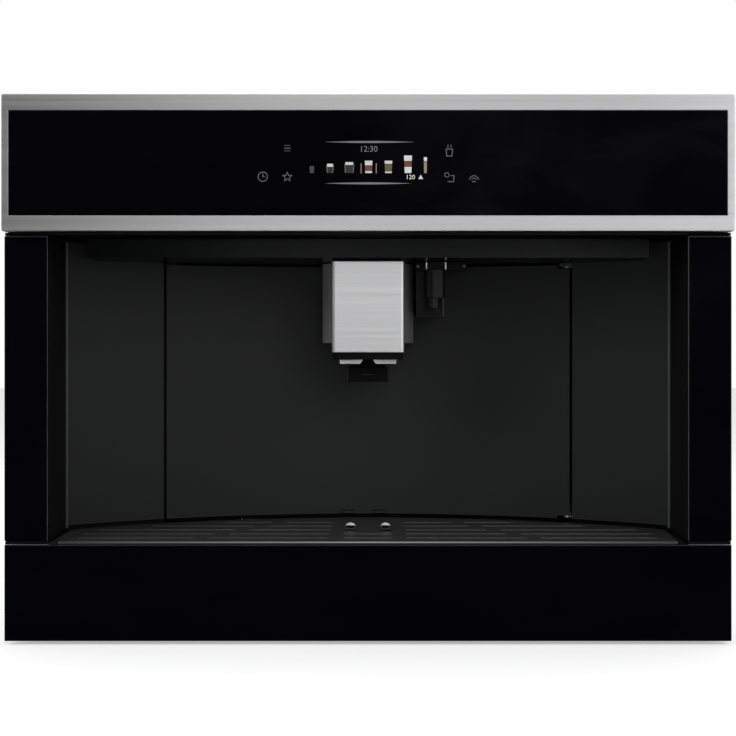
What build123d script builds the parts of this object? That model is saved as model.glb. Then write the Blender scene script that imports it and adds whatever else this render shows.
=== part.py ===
from build123d import *
import math
import os

# Built-in coffee machine, compact 60 cm by 45 cm class, in millimetres.
# +X is to the right, +Y runs into the cabinet, +Z is up. The origin is the middle of the
# object's footprint, on the shelf that the runner brackets stand on.
#
# Depths are counted from the front plane, the faces of the side strips and of the drawer
# front. Only the control panel stands proud of that plane.

# --- front ---------------------------------------------------------------------------
front_width = 596.0
shelf_clearance = 3.0
machine_depth = 430.0
panel_height = 112.0
panel_proud = 10.0
panel_border_side = 6.0
panel_border_top = 13.7
panel_border_bottom = 13.0
panel_skirt = 1.5
drawer_front_height = 79.0
front_joint = 3.0
strip_width = 36.0
strip_thickness = 6.0
glass_thickness = 3.0
glass_chamfer = 0.8
carrier_thickness = 12.0
carrier_wall = 2.5
carrier_bays = 10

# --- cup niche -----------------------------------------------------------------------
wall_radius = 444.0
wall_depth = 170.0
wall_thickness = 2.5
wall_end_gap = 0.7
wall_lift = 5.0
wall_rib = 5.0
door_half = 183.25
door_seam = 2.5
door_height = 231.0
door_top_gap = 1.7
door_skin = 3.0
door_rib = 6.0
return_gap = 0.2
return_lean = 2.8
return_sheet = 0.8
return_end_gap = 0.8
roof_thickness = 2.0
valance_inset = 25.3
valance_depth = 45.0
valance_height = 16.3
valance_wall = 2.5
light_length = 44.0
light_width = 12.0
light_x = 112.0
light_depth = 72.0

# --- hinge and latch of the service door ----------------------------------------------
hinge_inset = 3.5
hinge_setback = 3.5
hinge_pin_radius = 1.25
hinge_boss_radius = 2.9
hinge_pin_length = 9.0
hinge_notch = 3.0
hinge_lug = 1.8
hinge_plate_width = 20.0
hinge_plate_height = 26.0
latch_width = 9.0
latch_height = 24.0
latch_reach = 10.0

# --- coffee spout --------------------------------------------------------------------
spout_width = 62.5
spout_length = 55.0
spout_top_gap = 2.4
spout_cover_height = 78.0
spout_sheet = 1.2
spout_corner = 3.0
spout_chin = 6.4
spout_neck_height = 7.3
spout_foot_width = 37.0
spout_foot_height = 12.5
outlet_width = 20.8
outlet_height = 3.9
outlet_slant = 2.6
outlet_taper = 0.4
outlet_x = 14.5
outlet_setback = 30.5
outlet_length = 20.0
outlet_bore = 3.2
column_width = 82.5
column_reach = 60.0
column_height = 72.0
column_top_gap = 0.7
column_wing = 10.0
guide_head = 24.0
guide_neck = 13.0
guide_reach = 4.0

# --- hot water spout -----------------------------------------------------------------
bar_gap = 0.55
bar_width = 46.2
bar_height = 7.6
bar_drop = 3.6
bar_stand = 11.0
bar_thickness = 14.0
screw_radius = 1.6
screw_inset = 2.7
collar_radius = 9.6
collar_length = 9.0
pipe_inset = 17.7
pipe_radius = 8.6
pipe_drop = 25.0
tip_radius = 5.4
tip_length = 9.1
plate_inset = 1.2
plate_width = 22.5
plate_height = 49.0
plate_thickness = 2.0
plate_rim = 3.0

# --- drip drawer and cup grid ----------------------------------------------------------
grid_gap = 9.0
grid_front = 1.0
grid_side_gap = 6.8
grid_lean = 3.5
grid_corner = 12.0
grid_sheet = 2.2
grid_rise = 2.6
grid_skirt = 4.0
slot_rows = 5
slot_first = 22.0
slot_pitch = 25.5
slot_width = 4.0
slot_margin = 16.5
slot_inner = 32.5
slot_split = 132.5
slot_split_step = 14.6
slot_bridge = 12.5
slot_middle = 20.8
drain_x = 15.3
drain_setback = 26.6
drain_radius = 5.0
drain_wall = 0.9
drain_rise = 5.2
drain_lip = 0.6
drain_clearance = 1.0
tray_inset = 3.0
tray_wall = 2.0
tray_rim = 2.0
tray_floor = 2.0
drawer_floor = 2.0
drawer_rear_gap = 98.0
drawer_side_gap = 16.0
drawer_fence = 8.0
bin_width = 210.0
bin_rear_gap = 22.0
bin_drop = 6.0
bin_wall = 2.0
bin_corner = 14.0
bin_gap = 7.0
guide_foot = 2.8
guide_wall = 2.0
guide_height = 16.0

# --- carcass -------------------------------------------------------------------------
runner_room = 13.0
sheet = 1.0
base_sheet = 1.2
carcass_front = 22.0
base_z = 6.0
base_flange = 10.0
cover_drop = 14.0
vent_margin = 25.0
vent_width = 5.0
vent_pitch = 12.0
vents = 24
deck_rise = 6.0
deck_sheet = 2.0
deck_clearance = 12.0
chute_hole = 56.0
louvre_columns = 3
louvre_rows = 14
louvre_length = 70.0
louvre_width = 4.0
louvre_pitch_x = 150.0
louvre_pitch_z = 11.0

# --- runners -------------------------------------------------------------------------
niche_overlap = 18.0
runner_front = 25.0
runner_rear_gap = 5.0
runner_height = 45.7
runner_z = 10.0
runner_steel = 1.2
bracket_steel = 1.5
bracket_height = 76.0
bracket_foot = 30.0
foot_steel = 2.0
runner_play = 0.3
screw_hole_radius = 2.25
screw_span = 320.0
side_screw_z = 67.0
foot_screw_inset = 18.0

# --- inside --------------------------------------------------------------------------
tank_width = 115.0
tank_height = 226.0
tank_wall = 2.5
tank_corner = 14.0
tank_side_gap = 0.4
tank_depth = 190.0
tank_rear_gap = 30.0
tank_window_gap = 2.0
tank_port_radius = 6.1
tank_nipple_radius = 6.0
tank_port_rise = 22.0
tank_grip_radius = 26.0
tank_grip_depth = 12.0
tank_lid_sheet = 3.0
tank_lid_margin = 22.0
hopper_x = -95.0
hopper_depth = 255.0
hopper_size = 150.0
hopper_wall = 2.0
hopper_straight = 78.0
hopper_throat = 26.0
hopper_seat = 1.0
mouth_corner = 2.0
lid_size = 156.0
lid_thickness = 4.0
lid_corner = 12.0
lid_barrel = 3.0
lid_lug = 5.0
bean_barrel = 90.0
flap_width = 52.0
flap_length = 42.0
flap_barrel = 28.0
funnel_ahead = 14.0
funnel_width = 44.0
funnel_length = 34.0
funnel_straight = 70.0
funnel_narrowing = 5.0
funnel_seat = 5.0
knob_x = 95.0
knob_depth = 236.0
knob_radius = 17.0
knob_height = 8.0
knob_shaft = 4.0
knob_flute = 2.4
knob_flutes = 8
grinder_radius = 45.0
grinder_cup_radius = 28.0
grinder_rise = 140.0
grinder_height = 71.0
burr_radius = 24.0
burr_height = 26.0
burr_teeth = 8
burr_flute = 3.4
burr_shaft_length = 18.0
motor_radius = 33.0
motor_foot = 28.0
motor_foot_size = 54.0
brew_x = 12.0
brew_offset = 11.0
brew_width = 92.0
brew_length = 84.0
brew_height = 205.0
brew_cheek = 7.0
chamber_radius = 29.0
chamber_bore = 23.4
chamber_height = 62.0
chamber_rise = 60.0
piston_radius = 23.0
piston_length = 42.0
boiler_size = 86.0
boiler_height = 120.0
boiler_side = 61.0
boiler_rear_gap = 80.0
boiler_fin_gap = 5.0
boiler_fin_end = 14.0
union_pitch = 40.0
union_radius = 6.0
union_height = 12.0
pump_radius = 19.0
pump_length = 96.0
pump_side = 51.0
pump_depth = 200.0
pump_rise = 32.0
inlet_side = 66.0
inlet_z = 48.0
inlet_width = 27.4
inlet_height = 20.4
inlet_length = 30.0
inlet_recess = 17.0
inlet_wall = 1.7
inlet_flange = 2.0
inlet_flange_side = 6.0
inlet_pin_pitch = 7.0
inlet_pin_rise = 2.0
inlet_pin_length = 10.0
rocker_offset = 50.0
rocker_width = 14.0
rocker_height = 22.0
rocker_wall = 1.5
rocker_housing = 20.0
rocker_window = 1.0
rocker_pivot_depth = 7.0
rocker_trunnion = 1.2

# --- clearances ----------------------------------------------------------------------
fit_gap = 0.3
slide_gap = 0.3
pin_gap = 0.05
seat_gap = 0.2

# --- levels and places worked out from the sizes above ---------------------------------
overall_depth = machine_depth + panel_proud
front_y = panel_proud - overall_depth / 2
front_half = front_width / 2
# the front is stacked up from the drawer, the niche with its door, and the control panel
drawer_top = shelf_clearance + drawer_front_height
wall_bottom = drawer_top + wall_lift
door_top = wall_bottom + door_height
valance_bottom = door_top + door_top_gap
roof_z = valance_bottom + valance_height
panel_bottom = roof_z + roof_thickness
front_top = panel_bottom + panel_height
wall_top = roof_z - fit_gap
strip_bottom = drawer_top + front_joint
strip_top = panel_bottom - front_joint
strip_inner = front_half - strip_width
# cabinet, carcass and everything beside the niche follow the width of the front
cabinet_half = front_half - niche_overlap
carcass_half = cabinet_half - runner_room
inner_half = carcass_half - sheet
return_front_x = strip_inner + return_gap
return_rear_x = return_front_x + return_lean
wall_reach = return_rear_x - wall_end_gap
valance_half = wall_reach - valance_inset
# niche wall and cup grid are concentric, the spout stands out from the middle of the wall
wall_centre = wall_depth - wall_radius
return_depth = wall_centre + math.sqrt(wall_radius**2 - wall_reach**2) - return_end_gap
grid_radius = wall_radius - grid_gap
grid_depth = wall_depth - grid_gap
grid_rear_half = wall_reach - grid_side_gap
grid_front_half = grid_rear_half - grid_lean
grid_top = drawer_top + grid_rise
grid_bottom = grid_top - grid_sheet
column_front = wall_depth - column_reach
spout_front = column_front - spout_length
outlet_depth = spout_front + outlet_setback
drain_depth = spout_front + drain_setback
carrier_front = strip_thickness + seat_gap
carrier_back = carrier_front + carrier_thickness
# levels and depths inside the carcass
cover_z = front_top - cover_drop
deck_z = drawer_top + deck_rise
deck_top = deck_z + deck_sheet
rear_depth = machine_depth - base_sheet
base_top = base_z + base_sheet
louvre_centre_z = (deck_top + cover_z) / 2
runner_length = machine_depth - runner_front - runner_rear_gap
drawer_length = machine_depth - drawer_rear_gap
drawer_half = inner_half - drawer_side_gap
bin_front = grid_depth + bin_gap
bin_length = drawer_length - bin_front - bin_rear_gap
brew_depth = bin_front + bin_length / 2 + brew_offset
funnel_x = brew_x
funnel_depth = brew_depth - funnel_ahead


def plan(z):
    """Plane seen from above at height z: local x is X, local y is depth."""
    return Plane(origin=(0, front_y, z), x_dir=(1, 0, 0), z_dir=(0, 0, 1))


def face_at(depth):
    """Plane seen from the front at a depth: local x is X, local y is height."""
    return Plane(origin=(0, front_y + depth, 0), x_dir=(1, 0, 0), z_dir=(0, -1, 0))


def side_at(x):
    """Plane seen from the right at x: local x is depth, local y is height."""
    return Plane(origin=(x, front_y, 0), x_dir=(0, 1, 0), z_dir=(1, 0, 0))


def on_wall(radius, x):
    """Point of plan at distance x from the middle, on the niche's circle of a radius."""
    return (x, wall_centre + math.sqrt(radius**2 - x**2))


def wall_angle(x):
    """Angle in radians round the niche's centre at which its front face reaches x."""
    return math.asin(x / wall_radius)


def polar(radius, angle):
    """Point of plan at a radius and an angle from the niche's centre line."""
    return (radius * math.sin(angle), wall_centre + radius * math.cos(angle))


def wall_band(inner, outer, start, end):
    """Curved strip of the niche's wall between two radii and two angles."""
    middle = (start + end) / 2
    with BuildSketch() as band:
        with BuildLine():
            ThreePointArc(polar(inner, start), polar(inner, middle), polar(inner, end))
            Line(polar(inner, end), polar(outer, end))
            ThreePointArc(polar(outer, end), polar(outer, middle), polar(outer, start))
            Line(polar(outer, start), polar(inner, start))
        make_face()
    return band.sketch


def grid_outline(inset):
    """Outline of the cup grid: straight front, leaning sides, curved back."""
    front_half_here = grid_front_half - inset
    rear_half_here = grid_rear_half - inset
    radius = grid_radius - inset
    front = grid_front + inset
    corner_depth = wall_centre + math.sqrt(radius**2 - rear_half_here**2)
    with BuildSketch() as outline:
        with BuildLine():
            Line((-front_half_here, front), (front_half_here, front))
            Line((front_half_here, front), (rear_half_here, corner_depth))
            ThreePointArc(
                (rear_half_here, corner_depth),
                (0, wall_centre + radius),
                (-rear_half_here, corner_depth),
            )
            Line((-rear_half_here, corner_depth), (-front_half_here, front))
        make_face()
        fillet(outline.vertices().sort_by(Axis.Y)[-2:], grid_corner)
    return outline.sketch


def cut_square(side, corner):
    """Square outline with its four corners cut off at 45 degrees."""
    with BuildSketch() as square:
        Rectangle(side, side)
        chamfer(square.vertices(), corner)
    return square.sketch


def tapered_block(x, depth, width, length, low, high, inset, slope_height):
    """Upright block whose foot narrows by an inset on every side over the height of its slopes."""
    with BuildPart() as block:
        with BuildSketch(plan(low)) as outline:
            with Locations((x, depth)):
                Rectangle(width, length)
        extrude(amount=high - low)
        foot = block.faces().sort_by(Axis.Z)[0]
        chamfer(foot.edges(), length=inset, length2=slope_height, reference=foot)
    return block.part


def keep(part, name):
    """Label a finished piece and write it to its own file."""
    part.label = name
    export_step(part, f"parts/{name}.step")


os.makedirs("parts", exist_ok=True)

sides = (("left", -1), ("right", 1))

# --- runners: bracket and outer member stay in the cabinet -----------------------------
member_outer = cabinet_half - bracket_steel
middle_height = runner_height - 2 * (runner_steel + runner_play)
machine_member_height = middle_height - 2 * (runner_steel + runner_play)
runner_mid_z = runner_z + runner_height / 2
lip_inner = carcass_half + runner_steel + 1.4

for side, way in sides:
    with BuildPart() as cabinet_rail:
        # bracket of folded steel: tall leg on the cabinet side, foot on the shelf
        with BuildSketch(face_at(runner_front)) as bracket:
            with Locations((way * (cabinet_half - bracket_steel / 2), bracket_height / 2)):
                Rectangle(bracket_steel, bracket_height)
            with Locations((way * (cabinet_half - bracket_foot / 2), foot_steel / 2)):
                Rectangle(bracket_foot, foot_steel)
        extrude(amount=-runner_length)
        # outer member: a C that opens towards the machine
        with BuildSketch(face_at(runner_front)) as outer_member:
            with Locations((way * (member_outer - runner_steel / 2), runner_mid_z)):
                Rectangle(runner_steel, runner_height)
            lip = member_outer - lip_inner
            lip_mid = way * (member_outer + lip_inner) / 2
            lip_z = (runner_height - runner_steel) / 2
            with Locations((lip_mid, runner_mid_z - lip_z), (lip_mid, runner_mid_z + lip_z)):
                Rectangle(lip, runner_steel)
        extrude(amount=-runner_length)
        # screw holes into the cabinet side and into the shelf
        screw_mid = runner_front + runner_length / 2
        with BuildSketch(side_at(0)) as side_holes:
            with Locations((screw_mid, side_screw_z)):
                with GridLocations(screw_span, 1, 2, 1):
                    Circle(screw_hole_radius)
        extrude(amount=way * front_width, mode=Mode.SUBTRACT)
        with BuildSketch(plan(0)) as foot_holes:
            with Locations((way * (cabinet_half - foot_screw_inset), screw_mid)):
                with GridLocations(1, screw_span, 1, 2):
                    Circle(screw_hole_radius)
        extrude(amount=foot_steel, mode=Mode.SUBTRACT)
    keep(cabinet_rail.part, f"{side}_cabinet_rail")


middle_outer = member_outer - runner_steel - runner_play
middle_inner = carcass_half + runner_steel + runner_play
web_x = (middle_outer + middle_inner) / 2
flange_z = (middle_height - runner_steel) / 2
with BuildPart() as middle_rails:
    with BuildSketch(face_at(runner_front)) as middle_member:
        for way in (-1, 1):
            with Locations((way * web_x, runner_mid_z)):
                Rectangle(runner_steel, middle_height)
            with Locations(
                (way * web_x, runner_mid_z - flange_z), (way * web_x, runner_mid_z + flange_z)
            ):
                Rectangle(middle_outer - middle_inner, runner_steel)
    extrude(amount=-runner_length)
keep(middle_rails.part, "middle_rails")

machine_reach = web_x - runner_steel / 2 - runner_play - carcass_half
machine_lip_z = (machine_member_height - runner_steel) / 2
with BuildPart() as machine_rails:
    with BuildSketch(face_at(runner_front)) as machine_member:
        for way in (-1, 1):
            with Locations((way * (carcass_half + runner_steel / 2), runner_mid_z)):
                Rectangle(runner_steel, machine_member_height)
            lip_mid = way * (carcass_half + machine_reach / 2)
            with Locations(
                (lip_mid, runner_mid_z - machine_lip_z), (lip_mid, runner_mid_z + machine_lip_z)
            ):
                Rectangle(machine_reach, runner_steel)
    extrude(amount=-runner_length)
keep(machine_rails.part, "machine_rails")

# --- carcass: folded sheet panels around the works --------------------------------------
with BuildPart() as base_pan:
    with BuildSketch(face_at(carcass_front)) as pan:
        with Locations((0, base_z + base_sheet / 2)):
            Rectangle(2 * inner_half, base_sheet)
        for way in (-1, 1):
            with Locations((way * (inner_half - base_sheet / 2), base_top + base_flange / 2)):
                Rectangle(base_sheet, base_flange)
    extrude(amount=-(rear_depth - carcass_front))
    # ventilation slots behind the drawer
    with BuildSketch(plan(base_z)) as vent_slots:
        with Locations((0, (drawer_length + rear_depth) / 2)):
            with GridLocations(vent_pitch, 1, vents, 1):
                Rectangle(vent_width, rear_depth - drawer_length - 2 * vent_margin)
    extrude(amount=base_sheet, mode=Mode.SUBTRACT)
keep(base_pan.part, "base_pan")

tank_outer_x = inner_half - tank_side_gap
tank_inner_x = tank_outer_x - tank_width
tank_length = machine_depth - tank_rear_gap - tank_depth
tank_port_z = deck_top + tank_port_rise
tank_bottom = deck_top + slide_gap
tank_top = tank_bottom + tank_height
tank_mid = tank_depth + tank_length / 2
window_length = tank_length + 2 * tank_window_gap
window_bottom = deck_top
window_top = tank_top + tank_lid_sheet + 2 * tank_window_gap

with BuildPart() as left_side_panel:
    with BuildSketch(side_at(-carcass_half)) as panel:
        with Locations(((carcass_front + rear_depth) / 2, (base_z + cover_z) / 2)):
            Rectangle(rear_depth - carcass_front, cover_z - base_z)
        with Locations((tank_mid, louvre_centre_z)):
            with GridLocations(1, louvre_pitch_z, 1, louvre_rows):
                Rectangle(2 * louvre_length, louvre_width, mode=Mode.SUBTRACT)
    extrude(amount=sheet)
keep(left_side_panel.part, "left_side_panel")

with BuildPart() as right_side_panel:
    with BuildSketch(side_at(inner_half)) as panel:
        with Locations(((carcass_front + rear_depth) / 2, (base_z + cover_z) / 2)):
            Rectangle(rear_depth - carcass_front, cover_z - base_z)
        # window that the water tank is drawn out through
        with Locations((tank_mid, (window_bottom + window_top) / 2)):
            RectangleRounded(window_length, window_top - window_bottom, 3, mode=Mode.SUBTRACT)
    extrude(amount=sheet)
keep(right_side_panel.part, "right_side_panel")

inlet_x = inlet_side - inner_half
rocker_x = inlet_x + rocker_offset
with BuildPart() as rear_cover:
    with BuildSketch(face_at(rear_depth)) as back:
        with Locations((0, (base_z + cover_z + base_sheet) / 2)):
            Rectangle(2 * carcass_half, cover_z + base_sheet - base_z)
        with Locations((0, louvre_centre_z)):
            with GridLocations(louvre_pitch_x, louvre_pitch_z, louvre_columns, louvre_rows):
                Rectangle(louvre_length, louvre_width, mode=Mode.SUBTRACT)
        with Locations((inlet_x, inlet_z)):
            Rectangle(inlet_width + 2 * seat_gap, inlet_height + 2 * seat_gap, mode=Mode.SUBTRACT)
        with Locations((rocker_x, inlet_z)):
            Rectangle(
                rocker_width + 2 * (seat_gap + rocker_wall),
                rocker_height + 2 * (seat_gap + rocker_wall),
                mode=Mode.SUBTRACT,
            )
    extrude(amount=-base_sheet)
keep(rear_cover.part, "rear_cover")

top_face = cover_z + base_sheet
lid_hinge_z = top_face + fit_gap + lid_barrel
bean_hinge_depth = hopper_depth + lid_size / 2 + lid_barrel
funnel_hinge_depth = funnel_depth + flap_length / 2 + lid_barrel
with BuildPart() as top_cover:
    with BuildSketch(plan(cover_z)) as top:
        with Locations((0, (carrier_back + rear_depth) / 2)):
            Rectangle(2 * carcass_half, rear_depth - carrier_back)
        with Locations((hopper_x, hopper_depth)):
            hopper_mouth = hopper_size - 4 * hopper_wall
            add(cut_square(hopper_mouth, mouth_corner), mode=Mode.SUBTRACT)
        with Locations((funnel_x, funnel_depth)):
            Rectangle(
                funnel_width - 2 * hopper_wall, funnel_length - 2 * hopper_wall, mode=Mode.SUBTRACT
            )
        with Locations((knob_x, knob_depth)):
            Circle(knob_shaft + pin_gap, mode=Mode.SUBTRACT)
    extrude(amount=base_sheet)
    # lugs with a pin between them, behind the bean lid and behind the funnel flap
    for lug_x, lug_depth, barrel in (
        (hopper_x, bean_hinge_depth, bean_barrel),
        (funnel_x, funnel_hinge_depth, flap_barrel),
    ):
        for way in (-1, 1):
            with BuildSketch(side_at(lug_x + way * (barrel / 2 + fit_gap))) as lug:
                with Locations((lug_depth, lid_hinge_z)):
                    Circle(lid_barrel)
                with Locations((lug_depth, (top_face + lid_hinge_z) / 2)):
                    Rectangle(2 * lid_barrel, lid_hinge_z - top_face)
            extrude(amount=way * lid_lug)
        with BuildSketch(side_at(lug_x - barrel / 2 - lid_lug)) as lid_pin:
            with Locations((lug_depth, lid_hinge_z)):
                Circle(hinge_pin_radius)
        extrude(amount=barrel + 2 * lid_lug)
keep(top_cover.part, "top_cover")

# --- deck: the shelf inside that carries tank, brewing unit, boiler and pump -------------
deck_radius = wall_radius + deck_clearance
deck_corner = on_wall(deck_radius, inner_half)
with BuildPart() as deck:
    with BuildSketch(plan(deck_z)) as shelf:
        with BuildLine():
            ThreePointArc(
                (-deck_corner[0], deck_corner[1]), on_wall(deck_radius, 0), deck_corner
            )
            Line(deck_corner, (inner_half, rear_depth))
            Line((inner_half, rear_depth), (-inner_half, rear_depth))
            Line((-inner_half, rear_depth), (-deck_corner[0], deck_corner[1]))
        make_face()
        with Locations((brew_x, brew_depth)):
            Rectangle(chute_hole, chute_hole, mode=Mode.SUBTRACT)
    extrude(amount=deck_sheet)
    # fences that the water tank slides between
    fence_y = tank_window_gap + sheet
    fence_mid = (tank_inner_x + tank_outer_x) / 2
    with BuildSketch(plan(deck_top)) as fences:
        with Locations(
            (fence_mid, tank_depth - fence_y / 2 - slide_gap),
            (fence_mid, tank_depth + tank_length + fence_y / 2 + slide_gap),
        ):
            Rectangle(tank_width - 8, fence_y)
    extrude(amount=6)
keep(deck.part, "deck")

# --- front carrier: plastic portal behind the control panel and the strips ---------------
carrier_half = front_half - panel_skirt - fit_gap
carrier_top = front_top - panel_skirt - fit_gap
upright_inner = return_rear_x - 1.0
glass_half = front_half - panel_border_side
glass_bottom = panel_bottom + panel_border_bottom
glass_top = front_top - panel_border_top
glass_mid_z = (glass_bottom + glass_top) / 2
glass_height = glass_top - glass_bottom
glass_front = seat_gap - panel_proud
glass_back = glass_front + glass_thickness
header_bottom = panel_bottom + seat_gap

with BuildPart() as front_carrier:
    with BuildSketch(face_at(0)) as header:
        with Locations((0, (header_bottom + carrier_top) / 2)):
            Rectangle(2 * carrier_half, carrier_top - header_bottom)
    extrude(amount=-carrier_back)
    # the header is a tub, open to the back
    with BuildSketch(face_at(carrier_back)) as header_hollow:
        with Locations((0, (header_bottom + carrier_top) / 2)):
            Rectangle(
                2 * (carrier_half - carrier_wall), carrier_top - header_bottom - 2 * carrier_wall
            )
    extrude(amount=carrier_back - carrier_wall, mode=Mode.SUBTRACT)
    # stiffening ribs across the tub
    with BuildSketch(face_at(carrier_wall)) as header_ribs:
        with Locations((0, (header_bottom + carrier_top) / 2)):
            with GridLocations(2 * carrier_half / carrier_bays, 1, carrier_bays - 1, 1):
                Rectangle(carrier_wall, carrier_top - header_bottom - 2 * carrier_wall)
    extrude(amount=-(carrier_thickness / 2))
    # seat that the control glass lies on
    with BuildSketch(face_at(0)) as glass_seat:
        with Locations((0, glass_mid_z)):
            Rectangle(2 * glass_half - 2 * fit_gap, glass_height - 2 * fit_gap)
            Rectangle(
                2 * glass_half - 4 * carrier_wall, glass_height - 4 * carrier_wall, mode=Mode.SUBTRACT
            )
    extrude(amount=-glass_back - seat_gap)
    # uprights behind the side strips
    with BuildSketch(face_at(carrier_front)) as uprights:
        for way in (-1, 1):
            upright_mid = way * (upright_inner + carrier_half) / 2
            with Locations((upright_mid, (strip_bottom + header_bottom) / 2)):
                Rectangle(carrier_half - upright_inner, header_bottom - strip_bottom)
    extrude(amount=-carrier_thickness)
keep(front_carrier.part, "front_carrier")

with BuildPart() as panel_frame:
    with BuildSketch(face_at(-panel_proud)) as border:
        with Locations((0, (panel_bottom + front_top) / 2)):
            RectangleRounded(front_width, panel_height, 2.0)
        with Locations((0, glass_mid_z)):
            Rectangle(2 * glass_half + 2 * seat_gap, glass_height + 2 * seat_gap, mode=Mode.SUBTRACT)
    extrude(amount=-(panel_proud - glass_thickness))
    # folded skirt that covers the header's edge
    with BuildSketch(face_at(-glass_thickness)) as skirt:
        with Locations((0, (panel_bottom + front_top) / 2)):
            RectangleRounded(front_width, panel_height, 2.0)
            Rectangle(front_width - 2 * panel_skirt, panel_height - 2 * panel_skirt, mode=Mode.SUBTRACT)
    extrude(amount=-(glass_thickness - seat_gap))
    front_edges = panel_frame.faces().sort_by(Axis.Y)[0].outer_wire().edges()
    chamfer(front_edges, 0.6)
keep(panel_frame.part, "panel_frame")

with BuildPart() as control_glass:
    with BuildSketch(face_at(glass_front)) as pane:
        with Locations((0, glass_mid_z)):
            Rectangle(2 * glass_half, glass_height)
    extrude(amount=-glass_thickness)
    chamfer(control_glass.faces().sort_by(Axis.Y)[0].edges(), 0.3)
keep(control_glass.part, "control_glass")

display_width = 104.0
display_height = 50.0
display_thickness = 3.4
display_rise = 3.35
display_z = glass_mid_z + display_rise
display_edge = 3.0
display_recess = 0.4
board_width = 320.0
board_margin = 9.6
board_thickness = 1.6
board_hole_radius = 1.8
board_hole_inset = 9.0
pad_size = 11.0
pad_inner_x = 66.0
pad_outer_x = 86.0
pad_pitch_z = 23.2
with BuildPart() as display_module:
    with BuildSketch(face_at(glass_back + seat_gap)) as module:
        with Locations((0, display_z)):
            RectangleRounded(display_width, display_height, 2)
    extrude(amount=-display_thickness)
    with BuildSketch(face_at(glass_back + seat_gap)) as bezel:
        with Locations((0, display_z)):
            Rectangle(display_width - 2 * display_edge, display_height - 2 * display_edge)
    extrude(amount=-display_recess, mode=Mode.SUBTRACT)
keep(display_module.part, "display_module")

board_front = glass_back + seat_gap + display_thickness + seat_gap
with BuildPart() as control_board:
    with BuildSketch(face_at(board_front)) as board:
        with Locations((0, glass_mid_z)):
            board_height = glass_height - 2 * board_margin
            Rectangle(board_width, board_height)
            hole_span_x = board_width - 2 * board_hole_inset
            hole_span_z = board_height - 2 * board_hole_inset
            with GridLocations(hole_span_x, hole_span_z, 2, 2):
                Circle(board_hole_radius, mode=Mode.SUBTRACT)
    extrude(amount=-board_thickness)
    # touch pads stand up behind the symbols, three on each side of the display
    with BuildSketch(face_at(board_front)) as pads:
        with Locations((0, glass_mid_z)):
            with GridLocations(2 * pad_inner_x, pad_pitch_z, 2, 2):
                Rectangle(pad_size, pad_size)
        with Locations((0, glass_mid_z - pad_pitch_z / 2)):
            with GridLocations(2 * pad_outer_x, 1, 2, 1):
                Rectangle(pad_size, pad_size)
    extrude(amount=display_thickness)
keep(control_board.part, "control_board")

for side, way in sides:
    with BuildPart() as trim_strip:
        with BuildSketch(face_at(0)) as strip:
            with Locations((way * (strip_inner + front_half) / 2, (strip_bottom + strip_top) / 2)):
                Rectangle(strip_width, strip_top - strip_bottom)
        extrude(amount=-strip_thickness)
        chamfer(trim_strip.faces().sort_by(Axis.Y)[0].edges(), glass_chamfer)
    keep(trim_strip.part, f"{side}_trim_strip")

    with BuildPart() as niche_return:
        with BuildSketch(plan(strip_bottom)) as return_profile:
            with BuildLine():
                Polyline(
                    (way * return_front_x, carrier_front),
                    (way * return_rear_x, return_depth),
                    (way * (return_rear_x + return_sheet), return_depth),
                    (way * (return_front_x + return_sheet), carrier_front),
                    close=True,
                )
            make_face()
        extrude(amount=wall_top - strip_bottom)
    keep(niche_return.part, f"{side}_niche_return")

    with BuildPart() as niche_wall:
        wall_start = wall_angle(door_half + door_seam)
        wall_end = wall_angle(wall_reach)
        rib_angle = (wall_start + wall_end) / 2
        rib_half = carrier_wall / 2 / wall_radius
        wall_back = wall_radius + wall_thickness
        with BuildSketch(plan(wall_bottom)) as curved_sheet:
            add(wall_band(wall_radius, wall_back, way * wall_start, way * wall_end))
            add(
                wall_band(
                    wall_radius + wall_thickness / 2,
                    wall_back + wall_rib,
                    way * rib_angle - rib_half,
                    way * rib_angle + rib_half,
                )
            )
        extrude(amount=wall_top - wall_bottom)
    keep(niche_wall.part, f"{side}_niche_wall")

with BuildPart() as niche_roof:
    with BuildSketch(plan(roof_z)) as roof:
        roof_half = upright_inner - fit_gap
        roof_back = wall_radius + wall_thickness + wall_rib
        corner = on_wall(roof_back, roof_half)
        with BuildLine():
            Line((-roof_half, 1), (roof_half, 1))
            Line((roof_half, 1), corner)
            ThreePointArc(corner, on_wall(roof_back, 0), (-corner[0], corner[1]))
            Line((-corner[0], corner[1]), (-roof_half, 1))
        make_face()
    extrude(amount=roof_thickness)
keep(niche_roof.part, "niche_roof")

valance_radius = wall_radius - door_seam
with BuildPart() as valance:
    with BuildSketch(plan(valance_bottom)) as housing:
        corner = on_wall(valance_radius, valance_half)
        with BuildLine():
            Line((-valance_half, valance_depth), (valance_half, valance_depth))
            Line((valance_half, valance_depth), corner)
            ThreePointArc(corner, on_wall(valance_radius, 0), (-corner[0], corner[1]))
            Line((-corner[0], corner[1]), (-valance_half, valance_depth))
        make_face()
    extrude(amount=valance_height)
    # hollow from above, where the roof closes it
    open_top = valance.faces().sort_by(Axis.Z)[-1]
    offset(amount=-valance_wall, openings=open_top)
    with BuildSketch(plan(valance_bottom)) as lamp_windows:
        with Locations((0, light_depth)):
            with GridLocations(2 * light_x, 1, 2, 1):
                Rectangle(light_length, light_width)
    extrude(amount=valance_wall, mode=Mode.SUBTRACT)
keep(valance.part, "valance")

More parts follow.
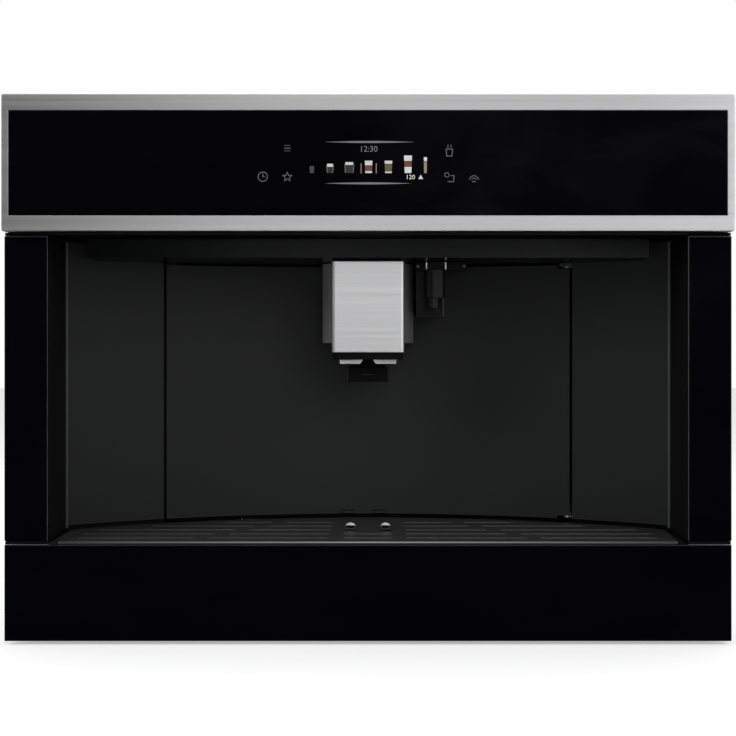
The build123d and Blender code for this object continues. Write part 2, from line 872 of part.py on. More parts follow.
with BuildPart() as niche_lights:
    with BuildSketch(plan(valance_bottom + seat_gap)) as lenses:
        with Locations((0, light_depth)):
            with GridLocations(2 * light_x, 1, 2, 1):
                Rectangle(light_length - 2 * seat_gap, light_width - 2 * seat_gap)
    extrude(amount=valance_wall - seat_gap)
    # flange that hangs each lens in its window
    with BuildSketch(plan(valance_bottom + valance_wall)) as lens_flanges:
        with Locations((0, light_depth)):
            with GridLocations(2 * light_x, 1, 2, 1):
                Rectangle(light_length + 6, light_width + 6)
    extrude(amount=2.5)
keep(niche_lights.part, "niche_lights")

# --- service door: the middle of the curved wall, hinged on its right edge ---------------
door_angle = wall_angle(door_half)
hinge_angle = door_angle - hinge_inset / wall_radius
hinge_at = polar(wall_radius + hinge_setback, hinge_angle)
boss_bottom = wall_bottom + hinge_notch
boss_top = door_top - hinge_notch
rib_span = door_angle * 0.88
rib_count = 5

with BuildPart() as door_panel:
    with BuildSketch(plan(wall_bottom)) as skin:
        add(wall_band(wall_radius, wall_radius + door_skin, -door_angle, door_angle))
    extrude(amount=door_height)
    # ribs moulded across the back
    rib_pitch = (door_height - 2 * door_rib) / (rib_count - 1)
    for rib in range(rib_count):
        with BuildSketch(plan(wall_bottom + rib * rib_pitch + door_rib - carrier_wall / 2)) as back_rib:
            add(
                wall_band(
                    wall_radius + door_skin / 2, wall_radius + door_skin + door_rib,
                    -rib_span, rib_span,
                )
            )
        extrude(amount=carrier_wall)
    # hinge bosses at the right edge, the skin notched above and below them
    with BuildSketch(plan(wall_bottom)) as boss:
        with Locations(hinge_at):
            Circle(hinge_boss_radius)
    extrude(amount=door_height)
    with BuildSketch(plan(wall_bottom)) as notch:
        with Locations(hinge_at):
            Circle(3 * hinge_boss_radius)
    extrude(amount=hinge_notch, mode=Mode.SUBTRACT)
    with BuildSketch(plan(boss_top)) as notch:
        with Locations(hinge_at):
            Circle(3 * hinge_boss_radius)
    extrude(amount=hinge_notch, mode=Mode.SUBTRACT)
    with BuildSketch(plan(boss_bottom)) as pin_bore:
        with Locations(hinge_at):
            Circle(hinge_pin_radius + pin_gap)
    extrude(amount=boss_top - boss_bottom, mode=Mode.SUBTRACT)
    # two shallow notches in the lower edge, which swing over the drain hoods of the cup grid
    for way in (-1, 1):
        swing = math.hypot(hinge_at[0] - way * drain_x, hinge_at[1] - drain_depth)
        with BuildSketch(plan(wall_bottom)) as swung_path:
            with Locations(hinge_at):
                Circle(swing + drain_radius + drain_clearance)
                Circle(swing - drain_radius - drain_clearance, mode=Mode.SUBTRACT)
        extrude(amount=grid_top + drain_rise + drain_clearance - wall_bottom, mode=Mode.SUBTRACT)
keep(door_panel.part, "door_panel")

# brackets behind the right wall, each with a lug and a pin
plate_start = wall_angle(door_half + door_seam) + 5.0 / wall_radius
plate_end = plate_start + hinge_plate_width / wall_radius
bracket_back = wall_radius + wall_thickness + fit_gap
with BuildPart() as door_hinge_brackets:
    lug_low = boss_bottom - fit_gap - hinge_lug
    lug_high = boss_top + fit_gap
    for lug_z, plate_z, pin_z in (
        (lug_low, lug_low, lug_low),
        (lug_high, lug_high + hinge_lug - hinge_plate_height, lug_high + hinge_lug - hinge_pin_length),
    ):
        with BuildSketch(plan(plate_z)) as plate:
            add(wall_band(bracket_back, bracket_back + 2 * bracket_steel, plate_start, plate_end))
        extrude(amount=hinge_plate_height)
        with BuildSketch(plan(lug_z)) as lug:
            with Locations(hinge_at):
                Circle(hinge_boss_radius)
            add(
                wall_band(
                    bracket_back, bracket_back + 2 * bracket_steel,
                    hinge_angle, plate_start + 2 / wall_radius,
                )
            )
        extrude(amount=hinge_lug)
        with BuildSketch(plan(pin_z)) as pin:
            with Locations(hinge_at):
                Circle(hinge_pin_radius)
        extrude(amount=hinge_pin_length)
keep(door_hinge_brackets.part, "door_hinge_brackets")

latch_z = (wall_bottom + door_top) / 2
latch_start = -(wall_angle(door_half) - 12.0 / wall_radius)
with BuildPart() as door_latch:
    latch_base = wall_radius + door_skin
    with BuildSketch(plan(latch_z - latch_height / 2)) as catch:
        add(
            wall_band(
                latch_base, latch_base + latch_reach,
                latch_start, latch_start + latch_width / wall_radius,
            )
        )
    extrude(amount=latch_height)
    fillet(door_latch.edges().filter_by(Axis.Z).sort_by(Axis.Y)[-2:], 2)
keep(door_latch.part, "door_latch")

with BuildPart() as latch_striker:
    striker_back = latch_base + latch_reach
    striker_start = -(wall_angle(door_half + door_seam) + 6.0 / wall_radius)
    with BuildSketch(plan(latch_z - latch_height / 2)) as striker:
        add(
            wall_band(
                bracket_back, striker_back + fit_gap + 3,
                striker_start - latch_width / wall_radius, striker_start,
            )
        )
        add(
            wall_band(
                striker_back + fit_gap, striker_back + fit_gap + 3,
                striker_start - latch_width / wall_radius,
                latch_start + latch_width / wall_radius,
            )
        )
    extrude(amount=latch_height)
keep(latch_striker.part, "latch_striker")

# --- coffee spout: column on the door, sliding head with a steel cover -------------------
column_top = valance_bottom - column_top_gap
column_bottom = column_top - column_height
column_half = column_width / 2
spout_half = spout_width / 2
head_back = column_front - fit_gap
with BuildPart() as spout_column:
    with BuildSketch(plan(column_bottom)) as column:
        back_corner = on_wall(wall_radius, column_half)
        wing_front = column_front + column_wing
        with BuildLine():
            Polyline(
                (-back_corner[0], back_corner[1]),
                (-column_half, wing_front + column_wing),
                (-column_half + column_wing, wing_front - column_wing),
                (column_half - column_wing, wing_front - column_wing),
                (column_half, wing_front + column_wing),
                back_corner,
            )
            ThreePointArc(back_corner, on_wall(wall_radius, 0), (-back_corner[0], back_corner[1]))
        make_face()
        # T-shaped guide that the spout head hangs on
        with Locations((0, column_front - guide_reach / 2)):
            Rectangle(guide_neck, guide_reach)
        with Locations((0, column_front - guide_reach * 1.5)):
            Rectangle(guide_head, guide_reach)
    extrude(amount=column_height)
keep(spout_column.part, "spout_column")

cover_top = valance_bottom - spout_top_gap
cover_bottom = cover_top - spout_cover_height
chin_bottom = cover_bottom - spout_chin
foot_top = chin_bottom - spout_neck_height
with BuildPart() as spout_cover:
    with BuildSketch(plan(cover_bottom)) as cover:
        with Locations((0, (spout_front + head_back) / 2)):
            Rectangle(spout_width, head_back - spout_front)
        fillet(cover.vertices().sort_by(Axis.Y)[:2], spout_corner)
    extrude(amount=spout_cover_height)
    # folded sheet: open at the bottom and at the back
    with BuildSketch(plan(cover_bottom)) as cover_inside:
        with Locations((0, (spout_front + spout_sheet + head_back) / 2)):
            Rectangle(spout_width - 2 * spout_sheet, head_back - spout_front - spout_sheet)
        fillet(cover_inside.vertices().sort_by(Axis.Y)[:2], spout_corner - spout_sheet)
    extrude(amount=spout_cover_height - spout_sheet, mode=Mode.SUBTRACT)
    # notch in its top that clears the column's guide
    with BuildSketch(plan(cover_bottom)) as guide_notch:
        with Locations((0, column_front - guide_reach)):
            Rectangle(guide_head + 2 * slide_gap, 2 * guide_reach + 2 * slide_gap)
    extrude(amount=spout_cover_height, mode=Mode.SUBTRACT)
keep(spout_cover.part, "spout_cover")

block_front = spout_front + spout_sheet + seat_gap
block_half = spout_half - spout_sheet - seat_gap
with BuildPart() as spout_block:
    with BuildSketch(plan(chin_bottom)) as block:
        with Locations((0, (block_front + head_back) / 2)):
            Rectangle(2 * block_half, head_back - block_front)
        fillet(block.vertices().sort_by(Axis.Y)[:2], spout_corner - spout_sheet)
    extrude(amount=cover_top - spout_sheet - seat_gap - chin_bottom)
    # slot for the column's T-shaped guide
    with BuildSketch(plan(chin_bottom)) as guide_slot:
        with Locations((0, column_front - guide_reach / 2)):
            Rectangle(guide_neck + 2 * slide_gap, guide_reach + slide_gap)
        with Locations((0, column_front - guide_reach * 1.5)):
            Rectangle(guide_head + 2 * slide_gap, guide_reach + 2 * slide_gap)
    extrude(amount=cover_top - chin_bottom, mode=Mode.SUBTRACT)
    # neck and foot below the outlets, with the coffee passages bored up into them
    neck_depth = outlet_depth + outlet_length / 2
    with BuildSketch(plan(foot_top)) as neck:
        with Locations((0, neck_depth)):
            Rectangle(spout_foot_width - 6, 10)
    extrude(amount=spout_neck_height)
    with BuildSketch(plan(foot_top - spout_foot_height)) as foot:
        with Locations((0, neck_depth)):
            RectangleRounded(spout_foot_width, 16, 1.5)
    extrude(amount=spout_foot_height)
    with BuildSketch(face_at(neck_depth - 8)) as foot_slit:
        with Locations((0, foot_top - spout_foot_height / 2)):
            Rectangle(spout_foot_width / 3, 1.0)
    extrude(amount=-1.5, mode=Mode.SUBTRACT)
keep(spout_block.part, "spout_block")

with BuildPart() as spout_outlets:
    for way in (-1, 1):
        with BuildSketch(face_at(outlet_depth - outlet_length / 2)) as outlet:
            with BuildLine():
                top_half = outlet_width / 2
                outer_low = way * (top_half - outlet_taper)
                inner_low = -way * (top_half - outlet_slant)
                Polyline(
                    (way * outlet_x - way * top_half, chin_bottom),
                    (way * outlet_x + way * top_half, chin_bottom),
                    (way * outlet_x + outer_low, chin_bottom - outlet_height),
                    (way * outlet_x + inner_low, chin_bottom - outlet_height),
                    close=True,
                )
            make_face()
        extrude(amount=-(outlet_length - 8))
        with BuildSketch(plan(chin_bottom - outlet_height)) as bore:
            with Locations((way * outlet_x, outlet_depth - 4)):
                Circle(outlet_bore)
        extrude(amount=outlet_height - 1, mode=Mode.SUBTRACT)
keep(spout_outlets.part, "spout_outlets")

# --- hot water spout ---------------------------------------------------------------------
bar_left = column_half + bar_gap
bar_right = bar_left + bar_width
bar_z = column_top - bar_drop
bar_front = column_front - bar_stand
pipe_x = bar_left + pipe_inset
plate_left = bar_left + plate_inset
plate_top = column_top
plate_bottom = plate_top - plate_height
plate_front = bar_front + bar_thickness
with BuildPart() as nozzle_plate:
    with BuildSketch(face_at(plate_front)) as plate:
        with BuildLine():
            Polyline(
                (plate_left, plate_bottom),
                (plate_left + plate_width + plate_rim, plate_bottom),
                (plate_left + plate_width + plate_rim, plate_top),
                (plate_left, plate_top),
                close=True,
            )
        make_face()
    extrude(amount=-plate_thickness)
    # raised rim along the bottom and the right
    with BuildSketch(face_at(plate_front - plate_rim)) as rim:
        with BuildLine():
            Polyline(
                (plate_left, plate_bottom),
                (plate_left + plate_width + plate_rim, plate_bottom),
                (plate_left + plate_width + plate_rim, bar_z - bar_height / 2 - fit_gap),
                (plate_left + plate_width, bar_z - bar_height / 2 - fit_gap),
                (plate_left + plate_width, plate_bottom + plate_rim),
                (plate_left, plate_bottom + plate_rim),
                close=True,
            )
        make_face()
    extrude(amount=-plate_rim)
    # stand-off that carries the plate on the curved door
    with BuildSketch(plan(plate_bottom + plate_rim)) as standoff:
        left_back = on_wall(wall_radius, plate_left)
        right_back = on_wall(wall_radius, plate_left + plate_width)
        with BuildLine():
            Polyline(
                left_back,
                (plate_left, plate_front + plate_thickness),
                (plate_left + plate_width, plate_front + plate_thickness),
                right_back,
            )
            ThreePointArc(right_back, on_wall(wall_radius, plate_left + plate_width / 2), left_back)
        make_face()
    extrude(amount=plate_top - plate_bottom - plate_rim)
keep(nozzle_plate.part, "nozzle_plate")

socket_depth = 12.0
with BuildPart() as nozzle_bar:
    with BuildSketch(face_at(bar_front)) as bar:
        with Locations(((bar_left + bar_right) / 2, bar_z)):
            RectangleRounded(bar_right - bar_left, bar_height, 1.5)
    extrude(amount=-bar_thickness)
    # round socket that the hot water spout is pushed into
    with BuildSketch(face_at(bar_front)) as socket:
        with Locations((pipe_x, bar_z)):
            Circle(bar_height / 2 - 1.2 + slide_gap)
    extrude(amount=-socket_depth, mode=Mode.SUBTRACT)
    # two countersunk screws
    with BuildSketch(face_at(bar_front)) as screw_seats:
        with Locations((bar_left + screw_inset, bar_z), (bar_right - screw_inset, bar_z)):
            Circle(screw_radius)
    extrude(amount=-0.8, mode=Mode.SUBTRACT)
keep(nozzle_bar.part, "nozzle_bar")

collar_front = bar_front - fit_gap - collar_length
with BuildPart() as hot_water_collar:
    with BuildSketch(face_at(collar_front)) as collar:
        with Locations((pipe_x, bar_z)):
            Circle(collar_radius)
            Rectangle(2 * collar_radius, bar_height - 0.8, mode=Mode.INTERSECT)
    extrude(amount=-collar_length)
    # plug that seats in the bar's socket
    with BuildSketch(face_at(bar_front - fit_gap)) as plug:
        with Locations((pipe_x, bar_z)):
            Circle(bar_height / 2 - 1.2)
    extrude(amount=-(socket_depth - 1))
keep(hot_water_collar.part, "hot_water_collar")

pipe_depth = collar_front + collar_length / 2
pipe_top = bar_z - (bar_height - 0.8) / 2
with BuildPart() as hot_water_pipe:
    # down-pipe and its smaller tip under the collar
    with BuildSketch(plan(pipe_top - pipe_drop)) as pipe:
        with Locations((pipe_x, pipe_depth)):
            Ellipse(pipe_radius, collar_length / 2)
    extrude(amount=pipe_drop)
    with BuildSketch(plan(pipe_top - pipe_drop - tip_length)) as tip:
        with Locations((pipe_x - 1.5, pipe_depth)):
            Ellipse(tip_radius, collar_length / 2 - 1)
    extrude(amount=tip_length)
    with BuildSketch(plan(pipe_top - pipe_drop - tip_length)) as tip_bore:
        with Locations((pipe_x - 1.5, pipe_depth)):
            Circle(2.0)
    extrude(amount=tip_length + 6, mode=Mode.SUBTRACT)
keep(hot_water_pipe.part, "hot_water_pipe")

# --- drip drawer -------------------------------------------------------------------------
with BuildPart() as drawer_front:
    with BuildSketch(face_at(0)) as pane:
        with Locations((0, (shelf_clearance + drawer_top) / 2)):
            Rectangle(front_width, drawer_front_height)
    extrude(amount=-glass_thickness)
    chamfer(drawer_front.faces().sort_by(Axis.Y)[0].edges(), glass_chamfer)
keep(drawer_front.part, "drawer_front")

tray_top = grid_bottom - seat_gap
carrier_low = base_z
chassis_top = tray_top - tray_rim - seat_gap
chassis_front = glass_thickness
floor_low = base_top + guide_foot + slide_gap
floor_high = floor_low + drawer_floor
with BuildPart() as drawer_chassis:
    with BuildSketch(face_at(chassis_front)) as back_plate:
        with Locations((0, (carrier_low + chassis_top) / 2)):
            Rectangle(2 * carrier_half, chassis_top - carrier_low)
    extrude(amount=-(carrier_thickness + carrier_wall))
    # the plate is a ribbed tub, open to the back
    with BuildSketch(face_at(chassis_front + carrier_thickness + carrier_wall)) as hollow:
        with Locations((0, (carrier_low + chassis_top) / 2)):
            with GridLocations(2 * carrier_half / carrier_bays, 1, carrier_bays, 1):
                Rectangle(
                    2 * carrier_half / carrier_bays - carrier_wall,
                    chassis_top - carrier_low - 2 * carrier_wall,
                )
    extrude(amount=carrier_thickness, mode=Mode.SUBTRACT)
    with BuildSketch(plan(floor_low)) as floor:
        floor_front = chassis_front + carrier_thickness
        with Locations((0, (floor_front + drawer_length) / 2)):
            Rectangle(2 * drawer_half, drawer_length - floor_front)
    extrude(amount=drawer_floor)
    # low fence that keeps the grounds bin in its place
    with BuildSketch(plan(floor_high)) as fence:
        with Locations((0, bin_front + bin_length / 2)):
            Rectangle(bin_width + 6, bin_length + 6)
            Rectangle(bin_width + 1, bin_length + 1, mode=Mode.SUBTRACT)
    extrude(amount=drawer_fence)
keep(drawer_chassis.part, "drawer_chassis")

with BuildPart() as drip_tray:
    tray_low = floor_high + seat_gap
    basin_front = chassis_front + carrier_thickness + carrier_wall + fit_gap
    with BuildSketch(plan(tray_low)) as basin:
        add(grid_outline(tray_inset + grid_skirt))
        with Locations((0, basin_front / 2)):
            Rectangle(front_width, basin_front, mode=Mode.SUBTRACT)
    extrude(amount=tray_top - tray_low)
    with BuildSketch(plan(tray_low + tray_floor)) as basin_hollow:
        add(grid_outline(tray_inset + grid_skirt + tray_wall))
        with Locations((0, (basin_front + tray_wall) / 2)):
            Rectangle(front_width, basin_front + tray_wall, mode=Mode.SUBTRACT)
    extrude(amount=tray_top - tray_low, mode=Mode.SUBTRACT)
    # rim that the cup grid lies on
    with BuildSketch(plan(tray_top - tray_rim)) as rim:
        add(grid_outline(tray_inset))
        add(grid_outline(tray_inset + grid_skirt + tray_wall + 2), mode=Mode.SUBTRACT)
    extrude(amount=tray_rim)
    with BuildSketch(plan(tray_top - tray_rim)) as front_shelf:
        with Locations((0, (grid_front + tray_inset + basin_front + tray_wall) / 2)):
            shelf_depth = basin_front + tray_wall - grid_front - tray_inset
            Rectangle(2 * (grid_front_half - tray_inset) - 2, shelf_depth)
    extrude(amount=tray_rim)
keep(drip_tray.part, "drip_tray")

with BuildPart() as grounds_bin:
    bin_low = floor_high + seat_gap
    bin_top = deck_z - bin_drop
    with BuildSketch(plan(bin_low)) as outside:
        with Locations((0, bin_front + bin_length / 2)):
            RectangleRounded(bin_width, bin_length, bin_corner)
    extrude(amount=bin_top - bin_low)
    with BuildSketch(plan(bin_low + bin_wall)) as inside:
        with Locations((0, bin_front + bin_length / 2)):
            RectangleRounded(
                bin_width - 2 * bin_wall, bin_length - 2 * bin_wall, bin_corner - bin_wall
            )
    extrude(amount=bin_top, mode=Mode.SUBTRACT)
    chamfer(grounds_bin.faces().sort_by(Axis.Z)[0].edges(), bin_wall / 2)
keep(grounds_bin.part, "grounds_bin")

with BuildPart() as cup_grid:
    with BuildSketch(plan(grid_bottom)) as plate:
        add(grid_outline(0))
        # rows of drain slots, staggered and shortened towards the curved back
        for row in range(slot_rows):
            row_depth = slot_first + row * slot_pitch
            arc_limit = math.sqrt((grid_radius - slot_margin) ** 2 - (row_depth - wall_centre) ** 2)
            row_end = min(grid_front_half - slot_margin + 4, arc_limit)
            split = slot_split - row * slot_split_step
            for start, end in ((slot_inner, split), (split + slot_bridge, row_end)):
                with Locations(((start + end) / 2, row_depth), (-(start + end) / 2, row_depth)):
                    Rectangle(end - start, slot_width, mode=Mode.SUBTRACT)
            if row < 2:
                with Locations((0, row_depth)):
                    Rectangle(2 * slot_middle, slot_width, mode=Mode.SUBTRACT)
        with Locations((-drain_x, drain_depth), (drain_x, drain_depth)):
            Circle(drain_radius, mode=Mode.SUBTRACT)
    extrude(amount=grid_sheet)
    # folded skirt along the sides and the back, which centres the grid on the tray
    with BuildSketch(plan(grid_bottom - grid_skirt)) as skirt:
        add(grid_outline(0))
        add(grid_outline(grid_sheet), mode=Mode.SUBTRACT)
        with Locations((0, basin_front / 2)):
            Rectangle(front_width, basin_front, mode=Mode.SUBTRACT)
    extrude(amount=grid_skirt)
keep(cup_grid.part, "cup_grid")

with BuildPart() as drain_rims:
    # two short hoods under the outlets, cut off slanting so that they open to the front
    with BuildSketch(plan(grid_bottom)) as hoods:
        with Locations((-drain_x, drain_depth), (drain_x, drain_depth)):
            Circle(drain_radius)
            Circle(drain_radius - drain_wall, mode=Mode.SUBTRACT)
    extrude(amount=grid_sheet + drain_rise)
    hood_back = drain_depth + drain_radius
    hood_front = drain_depth - drain_radius
    with BuildSketch(side_at(0)) as slant:
        with BuildLine():
            Polyline(
                (hood_front, grid_top + drain_lip),
                (hood_back, grid_top + drain_rise),
                (hood_back, grid_top + 2 * drain_rise),
                (hood_front, grid_top + 2 * drain_rise),
                close=True,
            )
        make_face()
    extrude(amount=front_width, both=True, mode=Mode.SUBTRACT)
keep(drain_rims.part, "drain_rims")

with BuildPart() as drawer_guides:
    with BuildSketch(face_at(carcass_front + 2)) as guides:
        for way in (-1, 1):
            foot_mid = way * (drawer_half - 4)
            with Locations((foot_mid, base_top + guide_foot / 2)):
                Rectangle(16, guide_foot)
            wall_mid = way * (drawer_half + slide_gap + guide_wall / 2)
            with Locations((wall_mid, base_top + guide_height / 2)):
                Rectangle(guide_wall, guide_height)
    extrude(amount=-(drawer_length + 60))
keep(drawer_guides.part, "drawer_guides")

# --- water tank --------------------------------------------------------------------------
tank_x = (tank_inner_x + tank_outer_x) / 2
with BuildPart() as water_tank:
    with BuildSketch(plan(tank_bottom)) as body:
        with Locations((tank_x, tank_mid)):
            RectangleRounded(tank_width, tank_length, tank_corner)
    extrude(amount=tank_height)
    # finger grip pressed into the outer face
    with BuildSketch(side_at(tank_outer_x)) as grip:
        with Locations((tank_mid, tank_bottom + tank_height * 0.72)):
            Circle(tank_grip_radius)
    extrude(amount=-tank_grip_depth, taper=20, mode=Mode.SUBTRACT)
    open_top = water_tank.faces().filter_by(GeomType.PLANE).sort_by(Axis.Z)[-1]
    offset(amount=-tank_wall, openings=open_top)
    # outlet port low on the inner side
    with BuildSketch(side_at(tank_inner_x)) as port_boss:
        with Locations((tank_mid, tank_port_z)):
            Circle(tank_port_radius + tank_wall)
    extrude(amount=10)
    with BuildSketch(side_at(tank_inner_x)) as port_bore:
        with Locations((tank_mid, tank_port_z)):
            Circle(tank_port_radius)
    extrude(amount=10, mode=Mode.SUBTRACT)
keep(water_tank.part, "water_tank")

lid_low = tank_top + fit_gap
lid_width = tank_length - 2 * tank_lid_margin
hinge_x = tank_x - 6
hinge_r = 2.4
with BuildPart() as tank_cover:
    with BuildSketch(plan(lid_low)) as fixed_lid:
        with Locations((tank_x, tank_mid)):
            RectangleRounded(tank_width, tank_length, tank_corner)
        with Locations(((hinge_x + tank_outer_x) / 2, tank_mid)):
            opening = tank_outer_x - hinge_x + 2 * (hinge_r + fit_gap)
            Rectangle(opening, lid_width + 2 * fit_gap, mode=Mode.SUBTRACT)
    extrude(amount=tank_lid_sheet)
    # hinge pin between the two cheeks of the filling opening
    with BuildSketch(face_at(tank_mid - lid_width / 2 - 2)) as lid_pin:
        with Locations((hinge_x, lid_low + hinge_r)):
            Circle(hinge_pin_radius)
    extrude(amount=-(lid_width + 4))
keep(tank_cover.part, "tank_cover")

with BuildPart() as tank_lid:
    with BuildSketch(face_at(tank_mid - lid_width / 2)) as lid_profile:
        with Locations((hinge_x, lid_low + hinge_r)):
            Circle(hinge_r)
        with Locations(((hinge_x + tank_outer_x) / 2, lid_low + tank_lid_sheet / 2)):
            Rectangle(tank_outer_x - hinge_x, tank_lid_sheet)
        with Locations((hinge_x, lid_low + hinge_r)):
            Circle(hinge_pin_radius + pin_gap, mode=Mode.SUBTRACT)
    extrude(amount=-lid_width)
keep(tank_lid.part, "tank_lid")

with BuildPart() as tank_coupling:
    bracket_x = tank_inner_x - 14
    with BuildSketch(side_at(bracket_x)) as block:
        with Locations((tank_mid, (deck_top + tank_port_z + 14) / 2)):
            RectangleRounded(40, tank_port_z + 14 - deck_top, 4)
    extrude(amount=12)
    with BuildSketch(side_at(bracket_x + 12)) as nipple:
        with Locations((tank_mid, tank_port_z)):
            Circle(tank_nipple_radius)
    extrude(amount=2 + 8)
    with BuildSketch(side_at(bracket_x)) as nipple_bore:
        with Locations((tank_mid, tank_port_z)):
            Circle(3)
    extrude(amount=22, mode=Mode.SUBTRACT)
keep(tank_coupling.part, "tank_coupling")

# --- beans, grinder and ground coffee ------------------------------------------------------
grinder_z = deck_top + grinder_rise
hopper_top = cover_z - seat_gap
hopper_bottom = grinder_z + grinder_height + hopper_seat
straight_low = hopper_top - hopper_straight
hopper_outside, hopper_inside = [
    tapered_block(
        hopper_x,
        hopper_depth,
        hopper_size - 2 * wall,
        hopper_size - 2 * wall,
        hopper_bottom,
        hopper_top,
        hopper_size / 2 - hopper_throat,
        straight_low - hopper_bottom,
    )
    for wall in (0.0, hopper_wall)
]
with BuildPart() as bean_hopper:
    add(hopper_outside)
    add(hopper_inside, mode=Mode.SUBTRACT)
keep(bean_hopper.part, "bean_hopper")

lid_bottom = top_face + fit_gap
with BuildPart() as bean_lid:
    with BuildSketch(plan(lid_bottom)) as lid_plate:
        with Locations((hopper_x, hopper_depth)):
            add(cut_square(lid_size, lid_corner))
        with Locations((hopper_x, hopper_depth - lid_size / 2)):
            SlotOverall(48, 14, mode=Mode.SUBTRACT)
    extrude(amount=lid_thickness)
    # barrel that turns on the cover's pin
    with BuildSketch(side_at(hopper_x - bean_barrel / 2)) as barrel:
        with Locations((bean_hinge_depth, lid_hinge_z)):
            Circle(lid_barrel)
        with Locations((bean_hinge_depth - lid_barrel, lid_hinge_z - lid_barrel / 2)):
            Rectangle(2 * lid_barrel, lid_barrel)
    extrude(amount=bean_barrel)
    with BuildSketch(side_at(hopper_x - bean_barrel / 2)) as barrel_bore:
        with Locations((bean_hinge_depth, lid_hinge_z)):
            Circle(hinge_pin_radius + pin_gap)
    extrude(amount=bean_barrel, mode=Mode.SUBTRACT)
keep(bean_lid.part, "bean_lid")

with BuildPart() as funnel_flap:
    with BuildSketch(plan(lid_bottom)) as flap_plate:
        with Locations((funnel_x, funnel_depth)):
            RectangleRounded(flap_width, flap_length, 5)
        with Locations((funnel_x, funnel_depth - flap_length / 2)):
            SlotOverall(18, 8, mode=Mode.SUBTRACT)
    extrude(amount=lid_thickness)
    with BuildSketch(side_at(funnel_x - flap_barrel / 2)) as barrel:
        with Locations((funnel_hinge_depth, lid_hinge_z)):
            Circle(lid_barrel)
        with Locations((funnel_hinge_depth - lid_barrel, lid_hinge_z - lid_barrel / 2)):
            Rectangle(2 * lid_barrel, lid_barrel)
    extrude(amount=flap_barrel)
    with BuildSketch(side_at(funnel_x - flap_barrel / 2)) as barrel_bore:
        with Locations((funnel_hinge_depth, lid_hinge_z)):
            Circle(hinge_pin_radius + pin_gap)
    extrude(amount=flap_barrel, mode=Mode.SUBTRACT)
keep(funnel_flap.part, "funnel_flap")

brew_top = deck_top + brew_height
funnel_bottom = brew_top + funnel_seat
funnel_outside, funnel_inside = [
    tapered_block(
        funnel_x,
        funnel_depth,
        funnel_width - 2 * wall,
        funnel_length - 2 * wall,
        funnel_bottom,
        hopper_top,
        funnel_narrowing,
        hopper_top - funnel_straight - funnel_bottom,
    )
    for wall in (0.0, hopper_wall)
]
with BuildPart() as funnel_chute:
    add(funnel_outside)
    add(funnel_inside, mode=Mode.SUBTRACT)
keep(funnel_chute.part, "funnel_chute")

with BuildPart() as grind_knob:
    with BuildSketch(plan(lid_bottom)) as knob:
        with Locations((knob_x, knob_depth)):
            Circle(knob_radius)
            with PolarLocations(knob_radius + knob_flute / 2, knob_flutes):
                Circle(knob_flute, mode=Mode.SUBTRACT)
    extrude(amount=knob_height)
    with BuildSketch(plan(lid_bottom + knob_height)) as pointer:
        with Locations((knob_x, knob_depth - knob_radius / 2)):
            Rectangle(1.6, knob_radius - 4)
    extrude(amount=-1.0, mode=Mode.SUBTRACT)
    with BuildSketch(plan(cover_z - 12)) as shaft:
        with Locations((knob_x, knob_depth)):
            Circle(knob_shaft)
    extrude(amount=lid_bottom - cover_z + 12)
    # collar under the cover keeps the knob in its hole
    with BuildSketch(plan(cover_z - fit_gap - 2)) as shaft_collar:
        with Locations((knob_x, knob_depth)):
            Circle(knob_shaft + 2)
    extrude(amount=2)
keep(grind_knob.part, "grind_knob")

cup_floor = grinder_z + grinder_height - burr_height - 11
with BuildPart() as grinder_body:
    with BuildSketch(plan(deck_top)) as foot_plate:
        with Locations((hopper_x, hopper_depth)):
            Rectangle(2 * grinder_radius - 6, 2 * grinder_radius - 6)
    extrude(amount=4)
    with BuildSketch(plan(deck_top)) as motor_pedestal:
        with Locations((hopper_x, hopper_depth)):
            Rectangle(motor_foot_size, motor_foot_size)
    extrude(amount=motor_foot)
    with BuildSketch(plan(deck_top + motor_foot)) as motor:
        with Locations((hopper_x, hopper_depth)):
            Circle(motor_radius)
    extrude(amount=grinder_z - deck_top - motor_foot)
    with BuildSketch(plan(grinder_z)) as gearbox:
        with Locations((hopper_x, hopper_depth)):
            Circle(grinder_radius)
    extrude(amount=grinder_height)
    # ground coffee leaves towards the brewing unit
    with BuildSketch(plan(grinder_z + 4)) as coffee_outlet:
        outlet_end = brew_x - brew_width / 2 - 1
        with Locations(((hopper_x + outlet_end) / 2, hopper_depth)):
            Rectangle(outlet_end - hopper_x, 22)
    extrude(amount=18)
    with BuildSketch(plan(cup_floor)) as cup:
        with Locations((hopper_x, hopper_depth)):
            Circle(grinder_cup_radius)
    extrude(amount=grinder_height, mode=Mode.SUBTRACT)
    with BuildSketch(plan(cup_floor - 20)) as shaft_bore:
        with Locations((hopper_x, hopper_depth)):
            Circle(knob_shaft + pin_gap)
    extrude(amount=20, mode=Mode.SUBTRACT)
keep(grinder_body.part, "grinder_body")

with BuildPart() as grinder_burr:
    with BuildSketch(plan(cup_floor + fit_gap)) as burr_base:
        with Locations((hopper_x, hopper_depth)):
            Circle(burr_radius)
    extrude(amount=burr_height, taper=18)
    # cutting flutes
    with BuildSketch(plan(cup_floor + fit_gap)) as flutes:
        with Locations((hopper_x, hopper_depth)):
            with PolarLocations(burr_radius, burr_teeth):
                RegularPolygon(burr_flute, 3)
    extrude(amount=burr_height, taper=4, mode=Mode.SUBTRACT)
    with BuildSketch(plan(cup_floor - burr_shaft_length)) as burr_shaft:
        with Locations((hopper_x, hopper_depth)):
            Circle(knob_shaft)
    extrude(amount=burr_shaft_length + burr_height)
keep(grinder_burr.part, "grinder_burr")

